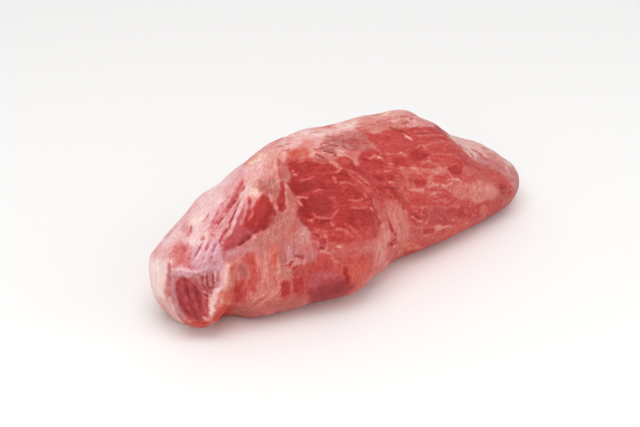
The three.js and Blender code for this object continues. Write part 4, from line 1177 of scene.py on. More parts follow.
# The thin end: its crest and lobe, its tip, its net of membranes and the striped field.
THIN_END = (
    Patch("mottled crest", Tissue.PALE, Grain.CREST, (356, 122, 368, 116, 380, 110, 388, 103, 400, 103,
        412, 109, 424, 116, 434, 124, 422, 127, 410, 127, 402, 127, 395, 126, 388, 126, 384, 130, 378, 133,
        372, 132, 366, 129, 358, 128), 1, soft=1, ragged=2.2),
    Patch("dusty foot of the crest", Tissue.RUST, Grain.CREST, (360, 123, 374, 121, 388, 119, 398, 122,
        404, 128, 392, 128, 378, 132, 364, 130), 0.5, soft=1.4, ragged=2.5),
    Patch("dusty of the crest", Tissue.GREY, Grain.CREST, (388, 116, 398, 110, 410, 110, 424, 117, 432, 125,
        418, 126, 404, 125, 394, 122), 0.6, soft=1.6, ragged=2.5),
    Stroke(Tissue.FAT, (391, 121.5, 399, 119.5), 1.2, 0.7, soft=1, ragged=1),
    Patch("light top of the crest", Tissue.FAT, Grain.CREST, (386, 106, 394, 103, 404, 105, 404, 112,
        394, 115, 386, 114), 0.7, soft=1.6, ragged=2.5),
    Stroke(Tissue.PEACH, (381, 117, 388, 111), 2.2, 0.7, soft=1.8, ragged=1.5),
    Stroke(Tissue.CREAM, (408, 122, 415, 121), 0.9, 0.6, soft=1, ragged=1),
    Stroke(Tissue.BROWN, (400, 116, 407, 116.5, 413, 119), 0.9, 0.85, ragged=1),
    Stroke(Tissue.BROWN, (402, 123.5, 410, 121.5), 0.9, ragged=1),
    Stroke(Tissue.BROWN, (372, 124, 380, 121), 0.8, 0.5, soft=1, ragged=1),
    Stroke(Tissue.MURK, (385, 124.5, 392, 127, 400, 130.5, 408, 134), 0.5),
    Patch("rose lean", Tissue.BRIGHT, Grain.CREST, (366, 133, 372, 135, 380, 134, 386, 130, 396, 131,
        403, 135, 408, 141, 412, 147, 405, 151, 395, 151, 386, 149, 378, 144, 370, 141), soft=1, ragged=1),
    Patch("crest lean", Tissue.BRIGHT, Grain.CREST, (404, 129, 424, 127, 436, 129, 448, 137, 462, 149,
        454, 152, 436, 146, 414, 143), 0.95, soft=1.2, ragged=1.5, web=0.3),
    Patch("net, middle", Tissue.BRIGHT, Grain.CREST, (420, 144, 452, 146, 466, 162, 462, 167, 440, 166,
        424, 162), web=0.5),
    Patch("red core", Tissue.LEAN, Grain.CREST, (409, 151, 418, 148, 428, 152, 427, 159, 416, 161, 410, 157),
        0.95, soft=1.2, ragged=1.2),
    Patch("red core, left", Tissue.LEAN, Grain.CREST, (392, 156, 408, 158, 411, 165, 396, 166), 0.8,
        soft=1.5),
    Patch("brick cell", Tissue.BRIGHT, Grain.CREST, (443, 160, 450, 158, 457, 160, 455, 164, 445, 164), 0.8,
        soft=1),
    Stroke(Tissue.FAT, (402, 133, 408, 136.5, 414, 140), 0.9, 0.95),
    Stroke(Tissue.LEAN, (400, 134.5, 407, 139, 412, 143), 0.6, 0.7),
    Stroke(Tissue.SALMON, (414, 131.5, 424, 130.5, 432, 131), 0.5),
    Stroke(Tissue.SALMON, (412, 136, 424, 135.5, 436, 134, 444, 135), 0.5, 0.9),
    Stroke(Tissue.SALMON, (424, 145.5, 434, 142, 446, 140.5, 454, 144), 0.6, 0.85),
    Stroke(Tissue.PALE, (416, 147, 422, 144, 427, 147, 428, 151)),
    Stroke(Tissue.SALMON, (428, 156, 440, 153, 452, 154, 462, 158), 0.6, 0.7),
    Stroke(Tissue.PALE, (424, 162, 430, 160.5, 434, 164, 441, 163.5), 0.8, ragged=0.9),
    Stroke(Tissue.LEAN, (412, 133.5, 424, 133, 438, 132), 0.6, 0.7),
    Stroke(Tissue.LEAN, (414, 139, 428, 138.5, 442, 137, 450, 140), 0.7, 0.7),
    Stroke(Tissue.MURK, (408, 166.5, 422, 167, 432, 167.5, 438, 166), 0.5, 0.7),
    # Painted shade: the dark root of the crease by the thin end.
    Stroke(Tissue.MURK, (443, 132.5, 449, 137, 456, 142.5, 461, 147.5), 0.4, 0.5),
    Stroke(Tissue.PALE, (452, 138.5, 459, 144, 465, 150, 470, 157, 477, 162, 486, 166), 1, 0.6, soft=0.8),
    Stroke(Tissue.BROWN, (480, 164, 490, 167, 498, 171.5, 506, 178), 1.5, soft=0.9),
    Patch("pale of the lobe", Tissue.FAT, Grain.LOBE, (456, 138, 474, 142, 488, 150, 484, 158, 474, 157,
        466, 149), 0.6, soft=1.5),
    Stroke(Tissue.BROWN, (472, 148, 480, 153, 486, 158), 1.6, 0.85, soft=1.2, ragged=1.8),
    Stroke(Tissue.BROWN, (460, 145, 468, 150, 474, 157), 1.2, soft=1.2, ragged=2.2),
    Stroke(Tissue.BROWN, (478, 145, 488, 150, 497, 157), 1, soft=1.2, ragged=2.2),
    Patch("lilac of the lobe", Tissue.GREY, Grain.LOBE, (484, 150, 494, 152, 504, 158, 508, 166, 500, 170,
        490, 162), 0.8, soft=1.6, ragged=2.2),
    Patch("dusk of the lobe", Tissue.MAUVE, Grain.LOBE, (478, 156, 490, 158, 500, 164, 508, 172, 512, 182,
        506, 180, 498, 172, 486, 167, 476, 162), soft=1.6, ragged=2.5),
    Stroke(Tissue.MAUVE, (496, 163, 503, 168, 508, 175), 2.2, 0.9, soft=1.3, ragged=1.5),
    Stroke(Tissue.MAUVE, (470, 141, 484, 146, 498, 152), 0.8, 0.4, soft=1),
    Patch("tip", Tissue.MAUVE, Grain.LOBE, (508, 166, 514, 166, 522, 180, 521, 194, 515, 192, 511, 180),
        soft=1.2),
    Stroke(Tissue.HAZE, (508, 168, 515, 176, 518, 188), 1.6, 0.45, soft=1.3, ragged=1.5),
    Patch("tip's brick side", Tissue.BRICK, Grain.LOBE, (498, 174, 507, 177, 512, 186, 514, 197, 504, 198,
        498, 188), 0.8, soft=1.4),
    Stroke(Tissue.ROSE, (511, 186, 509, 196, 502, 203), 1.6, 0.7, soft=1.5),
    Patch("smooth brick lean", Tissue.DUSTY, Grain.CREST, (464, 164, 474, 167, 486, 171, 496, 176, 502, 183,
        494, 185, 484, 181, 472, 182, 465, 176), 1, soft=1, ragged=1),
    Stroke(Tissue.BRIGHT, (484, 173, 494, 178, 501, 184), 1.6, 0.7, soft=1.5),
    Stroke(Tissue.DUSTY, (446, 136, 457, 146, 465, 155, 475, 163, 490, 170, 503, 178), 3.6, 0.85, soft=1.5),
    Stroke(Tissue.RUST, (455, 142, 463, 150, 470, 158, 480, 164), 1, soft=1.2),
    Patch("web's haze", Tissue.DUSTY, Grain.WEB, (414, 166, 448, 164, 462, 178, 456, 196, 424, 200, 408, 196,
        410, 180), 0.5, soft=2.5, ragged=3, web=0.8),
    Patch("dull lean left of the web", Tissue.BRICK, Grain.WEB, (394, 168, 412, 172, 414, 190, 412, 202,
        402, 198, 394, 186), 0.95, web=0.4),
    Patch("web, left", Tissue.SALMON, Grain.WEB, (400, 169, 405, 167, 413, 168.5, 420, 169, 428, 168,
        424, 173, 414, 172, 409, 176, 403, 174), 0.6, soft=0.8, ragged=3),
    Patch("web, middle", Tissue.SALMON, Grain.WEB, (430, 170, 436, 167, 445, 165, 448, 171, 445, 175,
        436, 175, 432, 180, 430, 187, 426, 185, 429, 177), 0.75, soft=0.8, ragged=1.5),
    Stroke(Tissue.PALE, (445, 166, 450, 173, 453, 178, 460, 180), 0.9, 0.9),
    Stroke(Tissue.SALMON, (403, 183, 412, 188, 422, 189, 430, 186), 0.7, 0.6, ragged=1),
    Stroke(Tissue.SALMON, (404, 175, 407, 181, 412, 187), 0.7, 0.6, ragged=1),
    Stroke(Tissue.PALE, (431, 186, 440, 184, 447, 187, 454, 182), 0.9, 0.75, ragged=1),
    Stroke(Tissue.SALMON, (464, 168, 463.5, 178, 460, 186), 0.8, 0.85),
    Stroke(Tissue.SALMON, (455, 180, 452, 186, 451, 192), 0.7),
    Stroke(Tissue.SALMON, (404, 190, 406, 197, 412, 202), 0.7, 0.7),
    Stroke(Tissue.PALE, (410, 190, 420, 191, 430, 194, 442, 192), 0.8, 0.7, ragged=1),
    Stroke(Tissue.PALE, (400, 167.5, 408, 166.5, 417, 168), 0.6, 0.85),
    Patch("cell one", Tissue.LEAN, None, (413, 180, 420, 179, 427, 181, 426, 186, 417, 187), 0.95, soft=0.9,
        ragged=1),
    Patch("cell two", Tissue.BRIGHT, None, (434, 177, 441, 175, 448, 177, 447, 182, 437, 183), soft=1,
        ragged=1),
    Patch("cell three", Tissue.LEAN, None, (447, 169, 453, 166, 462, 167, 463, 172, 458, 175, 452, 174), 0.95,
        soft=0.9, ragged=0.8),
    Patch("cell four", Tissue.BRIGHT, None, (409, 193, 418, 192, 422, 197, 416, 202, 409, 200), soft=1,
        ragged=1),
    Patch("field by the end", Tissue.SALMON, Grain.TAIL, (466, 184, 480, 180, 488, 182, 498, 186, 500, 193,
        494, 202, 486, 201, 480, 205, 473, 202, 466, 197, 464, 190), 0.95, soft=1.6, ragged=2.2),
    Patch("dull field by the end", Tissue.SALMON, Grain.TAIL, (452, 186, 460, 182, 468, 184, 470, 198,
        462, 200, 454, 197), 0.8, soft=1.4),
    Stroke(Tissue.BROWN, (468, 186, 468, 193), 0.6, 0.7, ragged=1),
    Stroke(Tissue.PALE, (473, 199, 478, 203, 484, 200), 1, 0.7, soft=1, ragged=1),
    Stroke(Tissue.PALE, (474, 190, 484, 189, 492, 190), 1.3, 0.6, soft=1.2, ragged=1.5),
    Stroke(Tissue.MURK, (500, 187.5, 507, 188.5), 0.5),
    Stroke(Tissue.MURK, (500, 192, 506, 194, 512, 192), 0.5, 0.7),
    Patch("red under the web", Tissue.BRIGHT, Grain.WEB, (410, 204, 426, 200, 448, 196, 466, 202, 470, 212,
        468, 226, 440, 228, 422, 222), web=0.5),
    Patch("red heart", Tissue.ROSE, Grain.WEB, (424, 214, 440, 208, 454, 214, 452, 223, 432, 225), 0.6),
    Patch("dark cell by the stripes", Tissue.LEAN, Grain.WEB, (451, 210, 464, 207, 468, 214, 460, 218,
        452, 216), 0.55, soft=1.5),
    Patch("dusty low right", Tissue.DUSTY, Grain.WEB, (412, 226, 430, 232, 446, 230, 470, 222, 482, 216,
        484, 224, 440, 246, 416, 248, 408, 238), 0.7, web=0.3),
    Patch("dusty below the field", Tissue.BRIGHT, Grain.TAIL, (476, 204, 490, 202, 500, 198, 502, 208,
        484, 218, 478, 216), soft=1.6),
    Stroke(Tissue.SALMON, (451, 205, 455, 204, 460, 208), 1.2, soft=0.9),
    Stroke(Tissue.SALMON, (449, 219, 456, 222, 463, 220)),
    Stroke(Tissue.LEAN, (470.5, 206, 471, 215, 471, 224), 0.5, 0.9),
    Stroke(Tissue.LEAN, (474, 205, 474.5, 214, 474, 221), 0.6, 0.9),
    Stroke(Tissue.LEAN, (478, 206, 477.5, 219), 0.5),
    Stroke(Tissue.LEAN, (467, 206, 467.5, 218), 0.5, 0.7),
    Stroke(Tissue.SALMON, (472.6, 205, 472.8, 222), 0.4),
    Stroke(Tissue.SALMON, (476, 205, 476, 220), 0.4),
    Patch("pale strip", Tissue.SALMON, Grain.TAIL, (482, 206, 486, 205, 488, 212, 486, 218, 483, 220,
        481, 212), 0.8, soft=0.9, ragged=0.8),
    Patch("pale blob", Tissue.PALE, None, (434, 226, 438, 224.5, 443, 226, 441, 231, 436, 231), 0.95,
        soft=0.8, ragged=0.8),
    Stroke(Tissue.PALE, (442, 227.5, 448, 226.5, 454, 227.5), 0.7, 0.9),
    Stroke(Tissue.SALMON, (414, 228, 424, 228, 434, 227), 0.6, 0.85),
    Stroke(Tissue.LEAN, (424, 232, 435, 232), 1.3, 0.9, soft=1),
    Stroke(Tissue.SALMON, (422, 236, 432, 235), 0.7, 0.7),
    Stroke(Tissue.CREVICE, (409, 214, 412, 216), 0.7, 0.85),
    Stroke(Tissue.MURK, (414, 214, 419, 218), 0.6, 0.75),
    Stroke(Tissue.PALE, (412, 216, 418, 221, 424, 221, 428, 223), 0.7, 0.95),
    Stroke(Tissue.SALMON, (412, 206, 420, 208, 430, 206), 0.6, 0.7),
    Stroke(Tissue.SALMON, (432, 202, 442, 200, 452, 202), 0.6, 0.7),
    Patch("amber skirt", Tissue.AMBER, Grain.WEB, (448, 228, 462, 221, 470, 224, 456, 235, 444, 238), 0.6,
        soft=1.8),
)

MARKS = (*GROUND, *BAND, *CUT_END, *FLANK, *SHANK, *SADDLE, *LEAN_FACE, *LENS, *BELLY, *THIN_END)


@dataclass(frozen=True)
class Cloud:
    """A soft pattern whose spots have given sizes in mm, and which shows where its noise passes a level."""

    seed: int
    sizes: tuple[float, float, float]
    octaves: int
    level: float
    fade: float
    strength: float

    def share(self, points: np.ndarray) -> np.ndarray:
        """Share of the pattern: 0 below its level, and its strength from one fade above the level on."""
        noise = Noise(self.seed).rough(points / self.sizes, self.octaves)
        return self.strength * ease((noise - self.level) / self.fade)


@dataclass(frozen=True)
class Cover:
    """The cover that also the unseen sides have. Lengths are in mm.

    Thin fat in clouds of 3 to 4 cm, thicker by the cut end, torn open to the lean in places and
    streaked lengthwise, with silverskin and drying fascia in veils and amber in small spots.
    """

    tears: Cloud = Cloud(5, (34.0, 15.0, 15.0), 4, 0.07, 0.10, 1.0)
    silver: Cloud = Cloud(7, (40.0, 40.0, 40.0), 3, 0.02, 0.4, 0.7)
    amber: Cloud = Cloud(8, (18.0, 18.0, 18.0), 3, 0.18, 0.3, 0.5)
    dull: Cloud = Cloud(9, (30.0, 30.0, 30.0), 3, 0.04, 0.35, 0.55)
    cloud_size: float = 34.0
    streak_sizes: tuple[float, float, float] = (22.0, 2.4, 2.4)
    fat: float = 0.60
    fat_clouds: float = 0.45
    fat_streaks: float = 0.17
    lean: float = 0.26
    lean_streaks: float = 0.16
    lean_texture: float = 0.5
    lean_web: float = 0.5
    thickness: float = 0.35
    relief: float = 0.2
    end_fat: float = 0.22
    end_starts: float = -95.0
    end_fade: float = 45.0

    def looks(self, points: np.ndarray, wandered: np.ndarray) -> dict[str, np.ndarray]:
        """What shows at each point.

        Args:
            points: places in mm.
            wandered: the same places moved a little, so that no edge is straight.

        Returns:
            Every part of the look by its name, and the strength of the web of membranes.
        """
        clouds = Noise(4).rough(wandered / self.cloud_size, 4)
        streaks = Noise(6).rough(wandered / self.streak_sizes, 3)
        by_end = self.end_fat * ease((self.end_starts - points[:, 0]) / self.end_fade)
        fat = self.fat + self.fat_clouds * clouds + self.fat_streaks * streaks + by_end
        lean = self.lean + self.lean_streaks * streaks
        window = self.tears.share(wandered)
        return {
            "fat": fat * (1 - window) + lean * window,
            "silver": self.silver.share(wandered),
            "amber": self.amber.share(wandered),
            "dull": self.dull.share(wandered),
            "streaks": 1.0 - self.lean_texture * window,
            "lift": self.thickness * (1 - window) + self.relief * streaks,
            "web": self.lean_web * window,
        }


@dataclass
class Tissues:
    """The tissues on the muscle: what shows at each point, and how thick it lies.

    Lengths are in mm. The wanders move edges and grain about, by pixels for a patch and by shares of
    the wander elsewhere. The surface is sunk as a whole, which keeps its relief within the solid, and
    the relief fades in over the pressed height above the ground.
    """

    muscle: Muscle
    view: Viewpoint
    cover: Cover = Cover()
    wander_size: float = 11.0
    wander_reach: float = 2.0
    cover_wander: float = 1.5
    patch_wander: float = 0.8
    stroke_wander: float = 0.2
    grain_wander: float = 0.5
    grit_size: float = 3.5
    edge_strand: tuple[float, float, float] = (9.0, 1.6, 4.0)
    relief_strand: tuple[float, float, float] = (16.0, 2.4, 5.0)
    relief_of_strands: float = 0.30
    relief_of_grit: float = 0.22
    sunk: float = 0.5
    pressed: float = 5.0
    turned_away: float = 0.3
    margin: float = 3.0
    pixels_a_mm: float = 2.0
    looks: dict[str, np.ndarray] = field(init=False, default_factory=dict)
    grain: np.ndarray = field(init=False)
    wander: np.ndarray = field(init=False)
    grit: np.ndarray = field(init=False)
    pixels: np.ndarray = field(init=False)
    depth: np.ndarray = field(init=False)
    facing: np.ndarray = field(init=False)

    def look(self) -> None:
        """Find where each point lies in the picture, and how far it faces the camera."""
        points, normals = self.muscle.points, self.muscle.normals
        self.pixels, self.depth = self.view.pixels(points)
        self.facing = np.sum(unit(self.view.place() - points) * normals, axis=1)

    def under(self, pixel: tuple[float, float]) -> int:
        """Index of the point that a pixel shows.

        Of the points that face the camera and lie within 0.8 pixel of the nearest one, it is the one
        in front, where a pixel of distance counts as 4 mm of depth.

        Args:
            pixel: column and row in the picture.

        Returns:
            The point's index.
        """
        away = np.linalg.norm(self.pixels - np.array(pixel), axis=1)
        away = np.where(self.facing > 0, away, np.inf)
        near = np.flatnonzero(away < away.min() + 0.8)
        return int(near[np.argmin(self.depth[near] + 4 * away[near])])

    def axes(self, grain: Grain) -> np.ndarray:
        """Directions of the fibres of one grain.

        Args:
            grain: the grain, which two pixels of the picture give.

        Returns:
            Rows: along the fibres, across them on the surface, and down into the meat.
        """
        start, end = (self.under(p) for p in grain.value)
        normal = unit(self.muscle.normals[start] + self.muscle.normals[end])
        along = unit(self.muscle.points[end] - self.muscle.points[start])
        across = unit(np.cross(normal, along))
        return np.stack([along, across, np.cross(along, across)])

    def ground(self) -> None:
        """Work out the wander and the grit, which make every edge uneven, and lay the cover."""
        points = self.muscle.points
        drift = [Noise(seed).rough(points / self.wander_size, 3) for seed in (1, 2, 3)]
        self.wander = np.stack(drift, axis=1) * self.wander_reach
        self.grit = Noise(10).rough(points / self.grit_size, 3)
        self.looks = self.cover.looks(points, points + self.cover_wander * self.wander)
        self.grain = points + self.wander

    def reach_of(self, mark: Patch | Stroke) -> tuple[np.ndarray, np.ndarray]:
        """How far inside a mark the points near it lie.

        A stroke's half width is full along its middle and four tenths of that at its ends: the root of
        1.15 less the fourth power of the place along it, from -1 to 1. Grit changes it by nine tenths.

        Args:
            mark: a patch, measured in the picture, or a stroke, measured along the surface.

        Returns:
            Indices of the points near the mark, and how far each is inside it in mm.
        """
        margin = mark.soft + mark.ragged + self.margin
        if isinstance(mark, Patch):
            outline = np.array(mark.path, float).reshape(-1, 2)
            past = margin * self.pixels_a_mm
            low, high = outline.min(0) - past, outline.max(0) + past
            box = np.all((self.pixels > low) & (self.pixels < high), axis=1)
            near = np.flatnonzero(box & (self.facing > -self.turned_away))
            scale = self.view.sensor / self.view.lens / self.view.picture[0]
            shift = self.grit[near, None] * self.patch_wander * min(1.0, mark.ragged)
            inside = outline_distance(self.pixels[near] + shift, outline)
            return near, inside * self.depth[near] * scale
        path = self.muscle.points[[self.under(p) for p in zip(mark.path[::2], mark.path[1::2])]]
        low, high = path.min(0) - margin - mark.half, path.max(0) + margin + mark.half
        points = self.muscle.points
        near = np.flatnonzero(np.all((points > low) & (points < high), axis=1))
        away, share = path_distance(points[near] + self.stroke_wander * self.wander[near], path)
        taper = np.sqrt(np.clip(1.15 - (2 * share - 1) ** 4, 0.0, 1.0))
        return near, mark.half * taper * (1 + 0.9 * self.grit[near]) - away

    def lay(self, mark: Patch | Stroke) -> None:
        """Lay one mark.

        Its weight is 1 inside and fades over its softness. Its edge moves in and out with the
        strands of its grain, or with the grit of the surface where it has none. A stroke also
        grows thin in places, down to four tenths.

        Args:
            mark: the patch or the stroke.
        """
        near, inside = self.reach_of(mark)
        edge = self.grit[near]
        drifted = self.muscle.points[near] + self.wander[near] * self.grain_wander
        if mark.grain is not None:
            axes = self.axes(mark.grain)
            edge = 0.3 * edge + Noise(40).rough(drifted @ (axes.T / self.edge_strand), 3)
        weight = mark.strength * ease(0.5 + (inside + mark.ragged * edge) / (2 * mark.soft))
        wanted = {f.name: getattr(mark.tissue.value, f.name) for f in fields(Look)} | {"web": 0.0}
        if isinstance(mark, Patch):
            weight = weight * ease((self.facing[near] + self.turned_away) / self.turned_away)
            wanted["web"] = mark.web
        else:
            weight = weight * np.clip(0.95 + 1.1 * self.grit[near], 0.4, 1.0)
        for name, value in wanted.items():
            values = self.looks[name]
            values[near] += (value - values[near]) * weight
        if mark.grain is not None:
            owned = weight > 0.5 * mark.strength
            self.grain[near[owned]] = (drifted @ axes.T)[owned]

    def paint(self) -> np.ndarray:
        """Lay everything, and give the surface its thickness.

        Returns:
            The finished points in mm, with the underside still flat on the ground.
        """
        self.look()
        self.ground()
        for mark in MARKS:
            self.lay(mark)
        strands = Noise(11).rough(self.grain / self.relief_strand, 2)
        uneven = self.relief_of_strands * strands + self.relief_of_grit * self.grit
        raised = self.looks.pop("lift") - self.sunk + self.looks["streaks"] * uneven
        points = self.muscle.points
        above = ease(points[:, 2] / self.pressed)
        finished = points + self.muscle.normals * (raised * above)[:, None]
        finished[:, 2] = np.maximum(finished[:, 2], 0.0)
        return finished


@dataclass(frozen=True)
class RampStop:
    """One colour of a tissue's ramp, from the painted shade of a crevice at 0 to thick fat at 1."""

    at: float
    colour: str


@dataclass(frozen=True)
class RawBeefFinish:
    """Raw beef, moist and freshly cut: myoglobin-red lean that shows through thinner or thicker fat.

    It scatters light a little below the surface, which softens its shadows, and a film of moisture
    gives small glints on a body of middling gloss. Lengths are in mm.
    """

    lean_to_fat: tuple[RampStop, ...] = (
        RampStop(0.00, "5e1114"),
        RampStop(0.12, "9a2221"),
        RampStop(0.25, "b43834"),
        RampStop(0.37, "c44c46"),
        RampStop(0.50, "ca6057"),
        RampStop(0.62, "d5786c"),
        RampStop(0.75, "e3988d"),
        RampStop(0.88, "ebbbb3"),
        RampStop(1.00, "f8e1da"),
    )
    silverskin: tuple[RampStop, ...] = (
        RampStop(0.00, "4f1a22"),
        RampStop(0.25, "8f3a47"),
        RampStop(0.50, "b6697a"),
        RampStop(0.75, "d19baf"),
        RampStop(0.88, "e3becb"),
        RampStop(1.00, "f2dde3"),
    )
    fascia: tuple[RampStop, ...] = (
        RampStop(0.00, "45211e"),
        RampStop(0.25, "80403a"),
        RampStop(0.50, "aa6e66"),
        RampStop(0.62, "bd857b"),
        RampStop(0.75, "cfa196"),
        RampStop(1.00, "ecdacf"),
    )
    amber: tuple[RampStop, ...] = (
        RampStop(0.00, "7e180f"),
        RampStop(0.25, "b83020"),
        RampStop(0.50, "cb5c46"),
        RampStop(0.75, "de957c"),
        RampStop(1.00, "f6dfc8"),
    )
    refraction: float = 1.38
    film: float = 0.3
    roughness_lean: float = 0.5
    roughness_fat: float = 0.62
    scatter_weight: float = 0.05
    scatter_depth: float = 2.0
    strand: tuple[float, float, float] = (8.0, 1.5, 3.5)
    fibre: tuple[float, float, float] = (5.0, 0.65, 2.0)
    cell: tuple[float, float, float] = (13.0, 4.5, 7.0)
    fleck: float = 1.7
    cloud: float = 5.0
    strand_share: float = 0.72
    fibre_share: float = 0.225
    spot_share: float = 0.126
    cloud_share: float = 0.495
    vein_share: float = 0.35
    spot_edges: tuple[float, float] = (0.40, 0.60)
    vein_breaks: tuple[float, float] = (0.42, 0.58)
    vein_width: float = 0.1
    gloss_cover: tuple[float, float] = (0.1, 0.8)
    scatter_reach: tuple[float, float, float] = (1.0, 0.35, 0.2)
    bump_depth: float = 0.5
    bump_strength: float = 0.45

    def material(self) -> bpy.types.Material:
        """Build the node tree.

        The cover is the fat, plus the texture times the streaks, plus the veins. The texture is the sum
        of the patterns, each about 0.5 in the middle, less half their shares, so that it is 0 on average.

        Returns:
            The material.
        """
        material = bpy.data.materials.new("raw_beef_moist_lean_and_fat")
        material.use_nodes = True
        tree = material.node_tree
        tree.nodes.clear()
        place = add_node(tree, "ShaderNodeTexCoord", (-2200, -600)).outputs["Object"]
        names = ("fat", "silver", "amber", "dull", "streaks", "web", "grain")
        read = [
            add_node(tree, "ShaderNodeAttribute", (-1400, 700 - 180 * i), {"attribute_name": name}).outputs
            for i, name in enumerate(names)
        ]
        fat, silver, amber, dull, streaks, web = (outputs["Fac"] for outputs in read[:-1])
        grain = read[-1]["Vector"]
        strands = self.mottle(tree, 100, grain, self.strand, 3.0)
        fibres = self.mottle(tree, -150, grain, self.fibre, 2.0)
        flecks = self.mottle(tree, -600, place, (self.fleck * MM,) * 3, 4.0)
        clouds = self.mottle(tree, -850, place, (self.cloud * MM,) * 3, 3.0)
        inputs = {"Value": flecks, "From Min": self.spot_edges[0], "From Max": self.spot_edges[1]}
        spots = add_node(tree, "ShaderNodeMapRange", (-1400, -600), FIRM, inputs).outputs["Result"]
        shares = (self.strand_share, self.fibre_share, self.spot_share, self.cloud_share)
        patterns = tuple(zip((strands, fibres, spots, clouds), shares))
        texture = self.sum(tree, (-820, 0), patterns, -sum(shares) / 2)
        veins = self.sum(tree, (-640, -180), ((self.lines(tree, grain, clouds), web),))
        cover = self.sum(tree, (-460, 100), ((fat, 1.0), (texture, streaks), (veins, self.vein_share)))
        layers = (
            (self.lean_to_fat, 1.0),
            (self.silverskin, silver),
            (self.amber, amber),
            (self.fascia, dull),
        )
        colour = self.colour(tree, cover, layers)
        height = self.sum(tree, (-460, -400), ((strands, 0.6), (fibres, 0.25), (flecks, 0.35), (veins, 0.5)))
        inputs = {"Height": height, "Strength": self.bump_strength, "Distance": self.bump_depth * MM}
        bump = add_node(tree, "ShaderNodeBump", (300, -400), inputs=inputs).outputs["Normal"]
        inputs = {
            "Value": cover,
            "From Min": self.gloss_cover[0],
            "From Max": self.gloss_cover[1],
            "To Min": self.roughness_lean,
            "To Max": self.roughness_fat,
        }
        gloss = add_node(tree, "ShaderNodeMapRange", (300, -100), inputs=inputs).outputs["Result"]
        inputs = {
            "Base Color": colour,
            "Roughness": gloss,
            "Normal": bump,
            "IOR": self.refraction,
            "Specular IOR Level": self.film,
            "Subsurface Weight": self.scatter_weight,
            "Subsurface Radius": self.scatter_reach,
            "Subsurface Scale": self.scatter_depth * MM,
        }
        shader = add_node(tree, "ShaderNodeBsdfPrincipled", (600, 0), inputs=inputs).outputs["BSDF"]
        add_node(tree, "ShaderNodeOutputMaterial", (900, 0), inputs={"Surface": shader})
        return material

    def mottle(
        self,
        tree: bpy.types.NodeTree,
        row: int,
        vector: bpy.types.NodeSocket,
        sizes: tuple[float, float, float],
        detail: float,
    ) -> bpy.types.NodeSocket:
        """Soft mottle, about 0.5 in the middle, whose spots have the given sizes along three axes.

        Args:
            tree: the material's nodes.
            row: how high its nodes lie in the editor.
            vector: the place on the meat.
            sizes: the spots' sizes, in the vector's own unit.
            detail: how many finer layers it has.

        Returns:
            The strength of the mottle.
        """
        divide = {"operation": "DIVIDE"}
        spots = add_node(tree, "ShaderNodeVectorMath", (-1900, row), divide, {0: vector, 1: sizes})
        inputs = {"Scale": 1.0, "Detail": detail, "Roughness": 0.6, "Distortion": 0.5}
        inputs["Vector"] = spots.outputs[0]
        return add_node(tree, "ShaderNodeTexNoise", (-1700, row), inputs=inputs).outputs["Fac"]

    def lines(
        self, tree: bpy.types.NodeTree, grain: bpy.types.NodeSocket, clouds: bpy.types.NodeSocket
    ) -> bpy.types.NodeSocket:
        """Thin membranes between bundles of fibres.

        The edges of cells stretched along the grain, 1 on an edge and 0 a tenth of a cell away, and
        broken where the clouds are low.

        Args:
            tree: the material's nodes.
            grain: places in mm along, across and under the fibres.
            clouds: a soft pattern.

        Returns:
            The strength of the lines.
        """
        edges = {"From Min": self.vein_width, "From Max": 0.0}
        steps = (
            ("ShaderNodeVectorMath", {"operation": "DIVIDE"}, {1: self.cell}, 0, 0),
            ("ShaderNodeVectorMath", {"operation": "ADD"}, {1: clouds}, 0, 0),
            ("ShaderNodeTexVoronoi", {"feature": "DISTANCE_TO_EDGE"}, {"Scale": 1.0}, "Vector", "Distance"),
            ("ShaderNodeMapRange", FIRM, edges, "Value", "Result"),
        )
        flow = grain
        for i, (kind, settings, inputs, way_in, way_out) in enumerate(steps):
            node = add_node(tree, kind, (200 * i - 1900, -1100), settings, {way_in: flow, **inputs})
            flow = node.outputs[way_out]
        inputs = {"Value": clouds, "From Min": self.vein_breaks[0], "From Max": self.vein_breaks[1]}
        whole = add_node(tree, "ShaderNodeMapRange", (-1300, -1350), FIRM, inputs).outputs["Result"]
        return self.sum(tree, (-1100, -1100), ((flow, whole),))

    def colour(
        self,
        tree: bpy.types.NodeTree,
        cover: bpy.types.NodeSocket,
        layers: tuple[tuple[tuple[RampStop, ...], bpy.types.NodeSocket | float], ...],
    ) -> bpy.types.NodeSocket:
        """Colour of the meat: each layer's ramp, picked by the cover, is mixed over those before it.

        Args:
            tree: the material's nodes.
            cover: the thickness of the fat, which picks a place on every ramp.
            layers: each layer's ramp and its share, the lean and its fat first.

        Returns:
            The mixed colour.
        """
        shown: bpy.types.NodeSocket | None = None
        for i, (stops, share) in enumerate(layers):
            ramp = add_node(tree, "ShaderNodeValToRGB", (-240, 420 - 240 * i), inputs={"Fac": cover})
            elements = ramp.color_ramp.elements
            elements[0].position, elements[1].position = stops[0].at, stops[-1].at
            elements[0].color, elements[1].color = linear(stops[0].colour), linear(stops[-1].colour)
            for stop in stops[1:-1]:
                elements.new(stop.at).color = linear(stop.colour)
            layer = ramp.outputs["Color"]
            if shown is not None:
                inputs = {"Factor": share, "A": shown, "B": layer}
                mix = add_node(tree, "ShaderNodeMix", (180 * i - 120, 300), {"data_type": "RGBA"}, inputs)
                layer = mix.outputs["Result"]
            shown = layer
        return shown

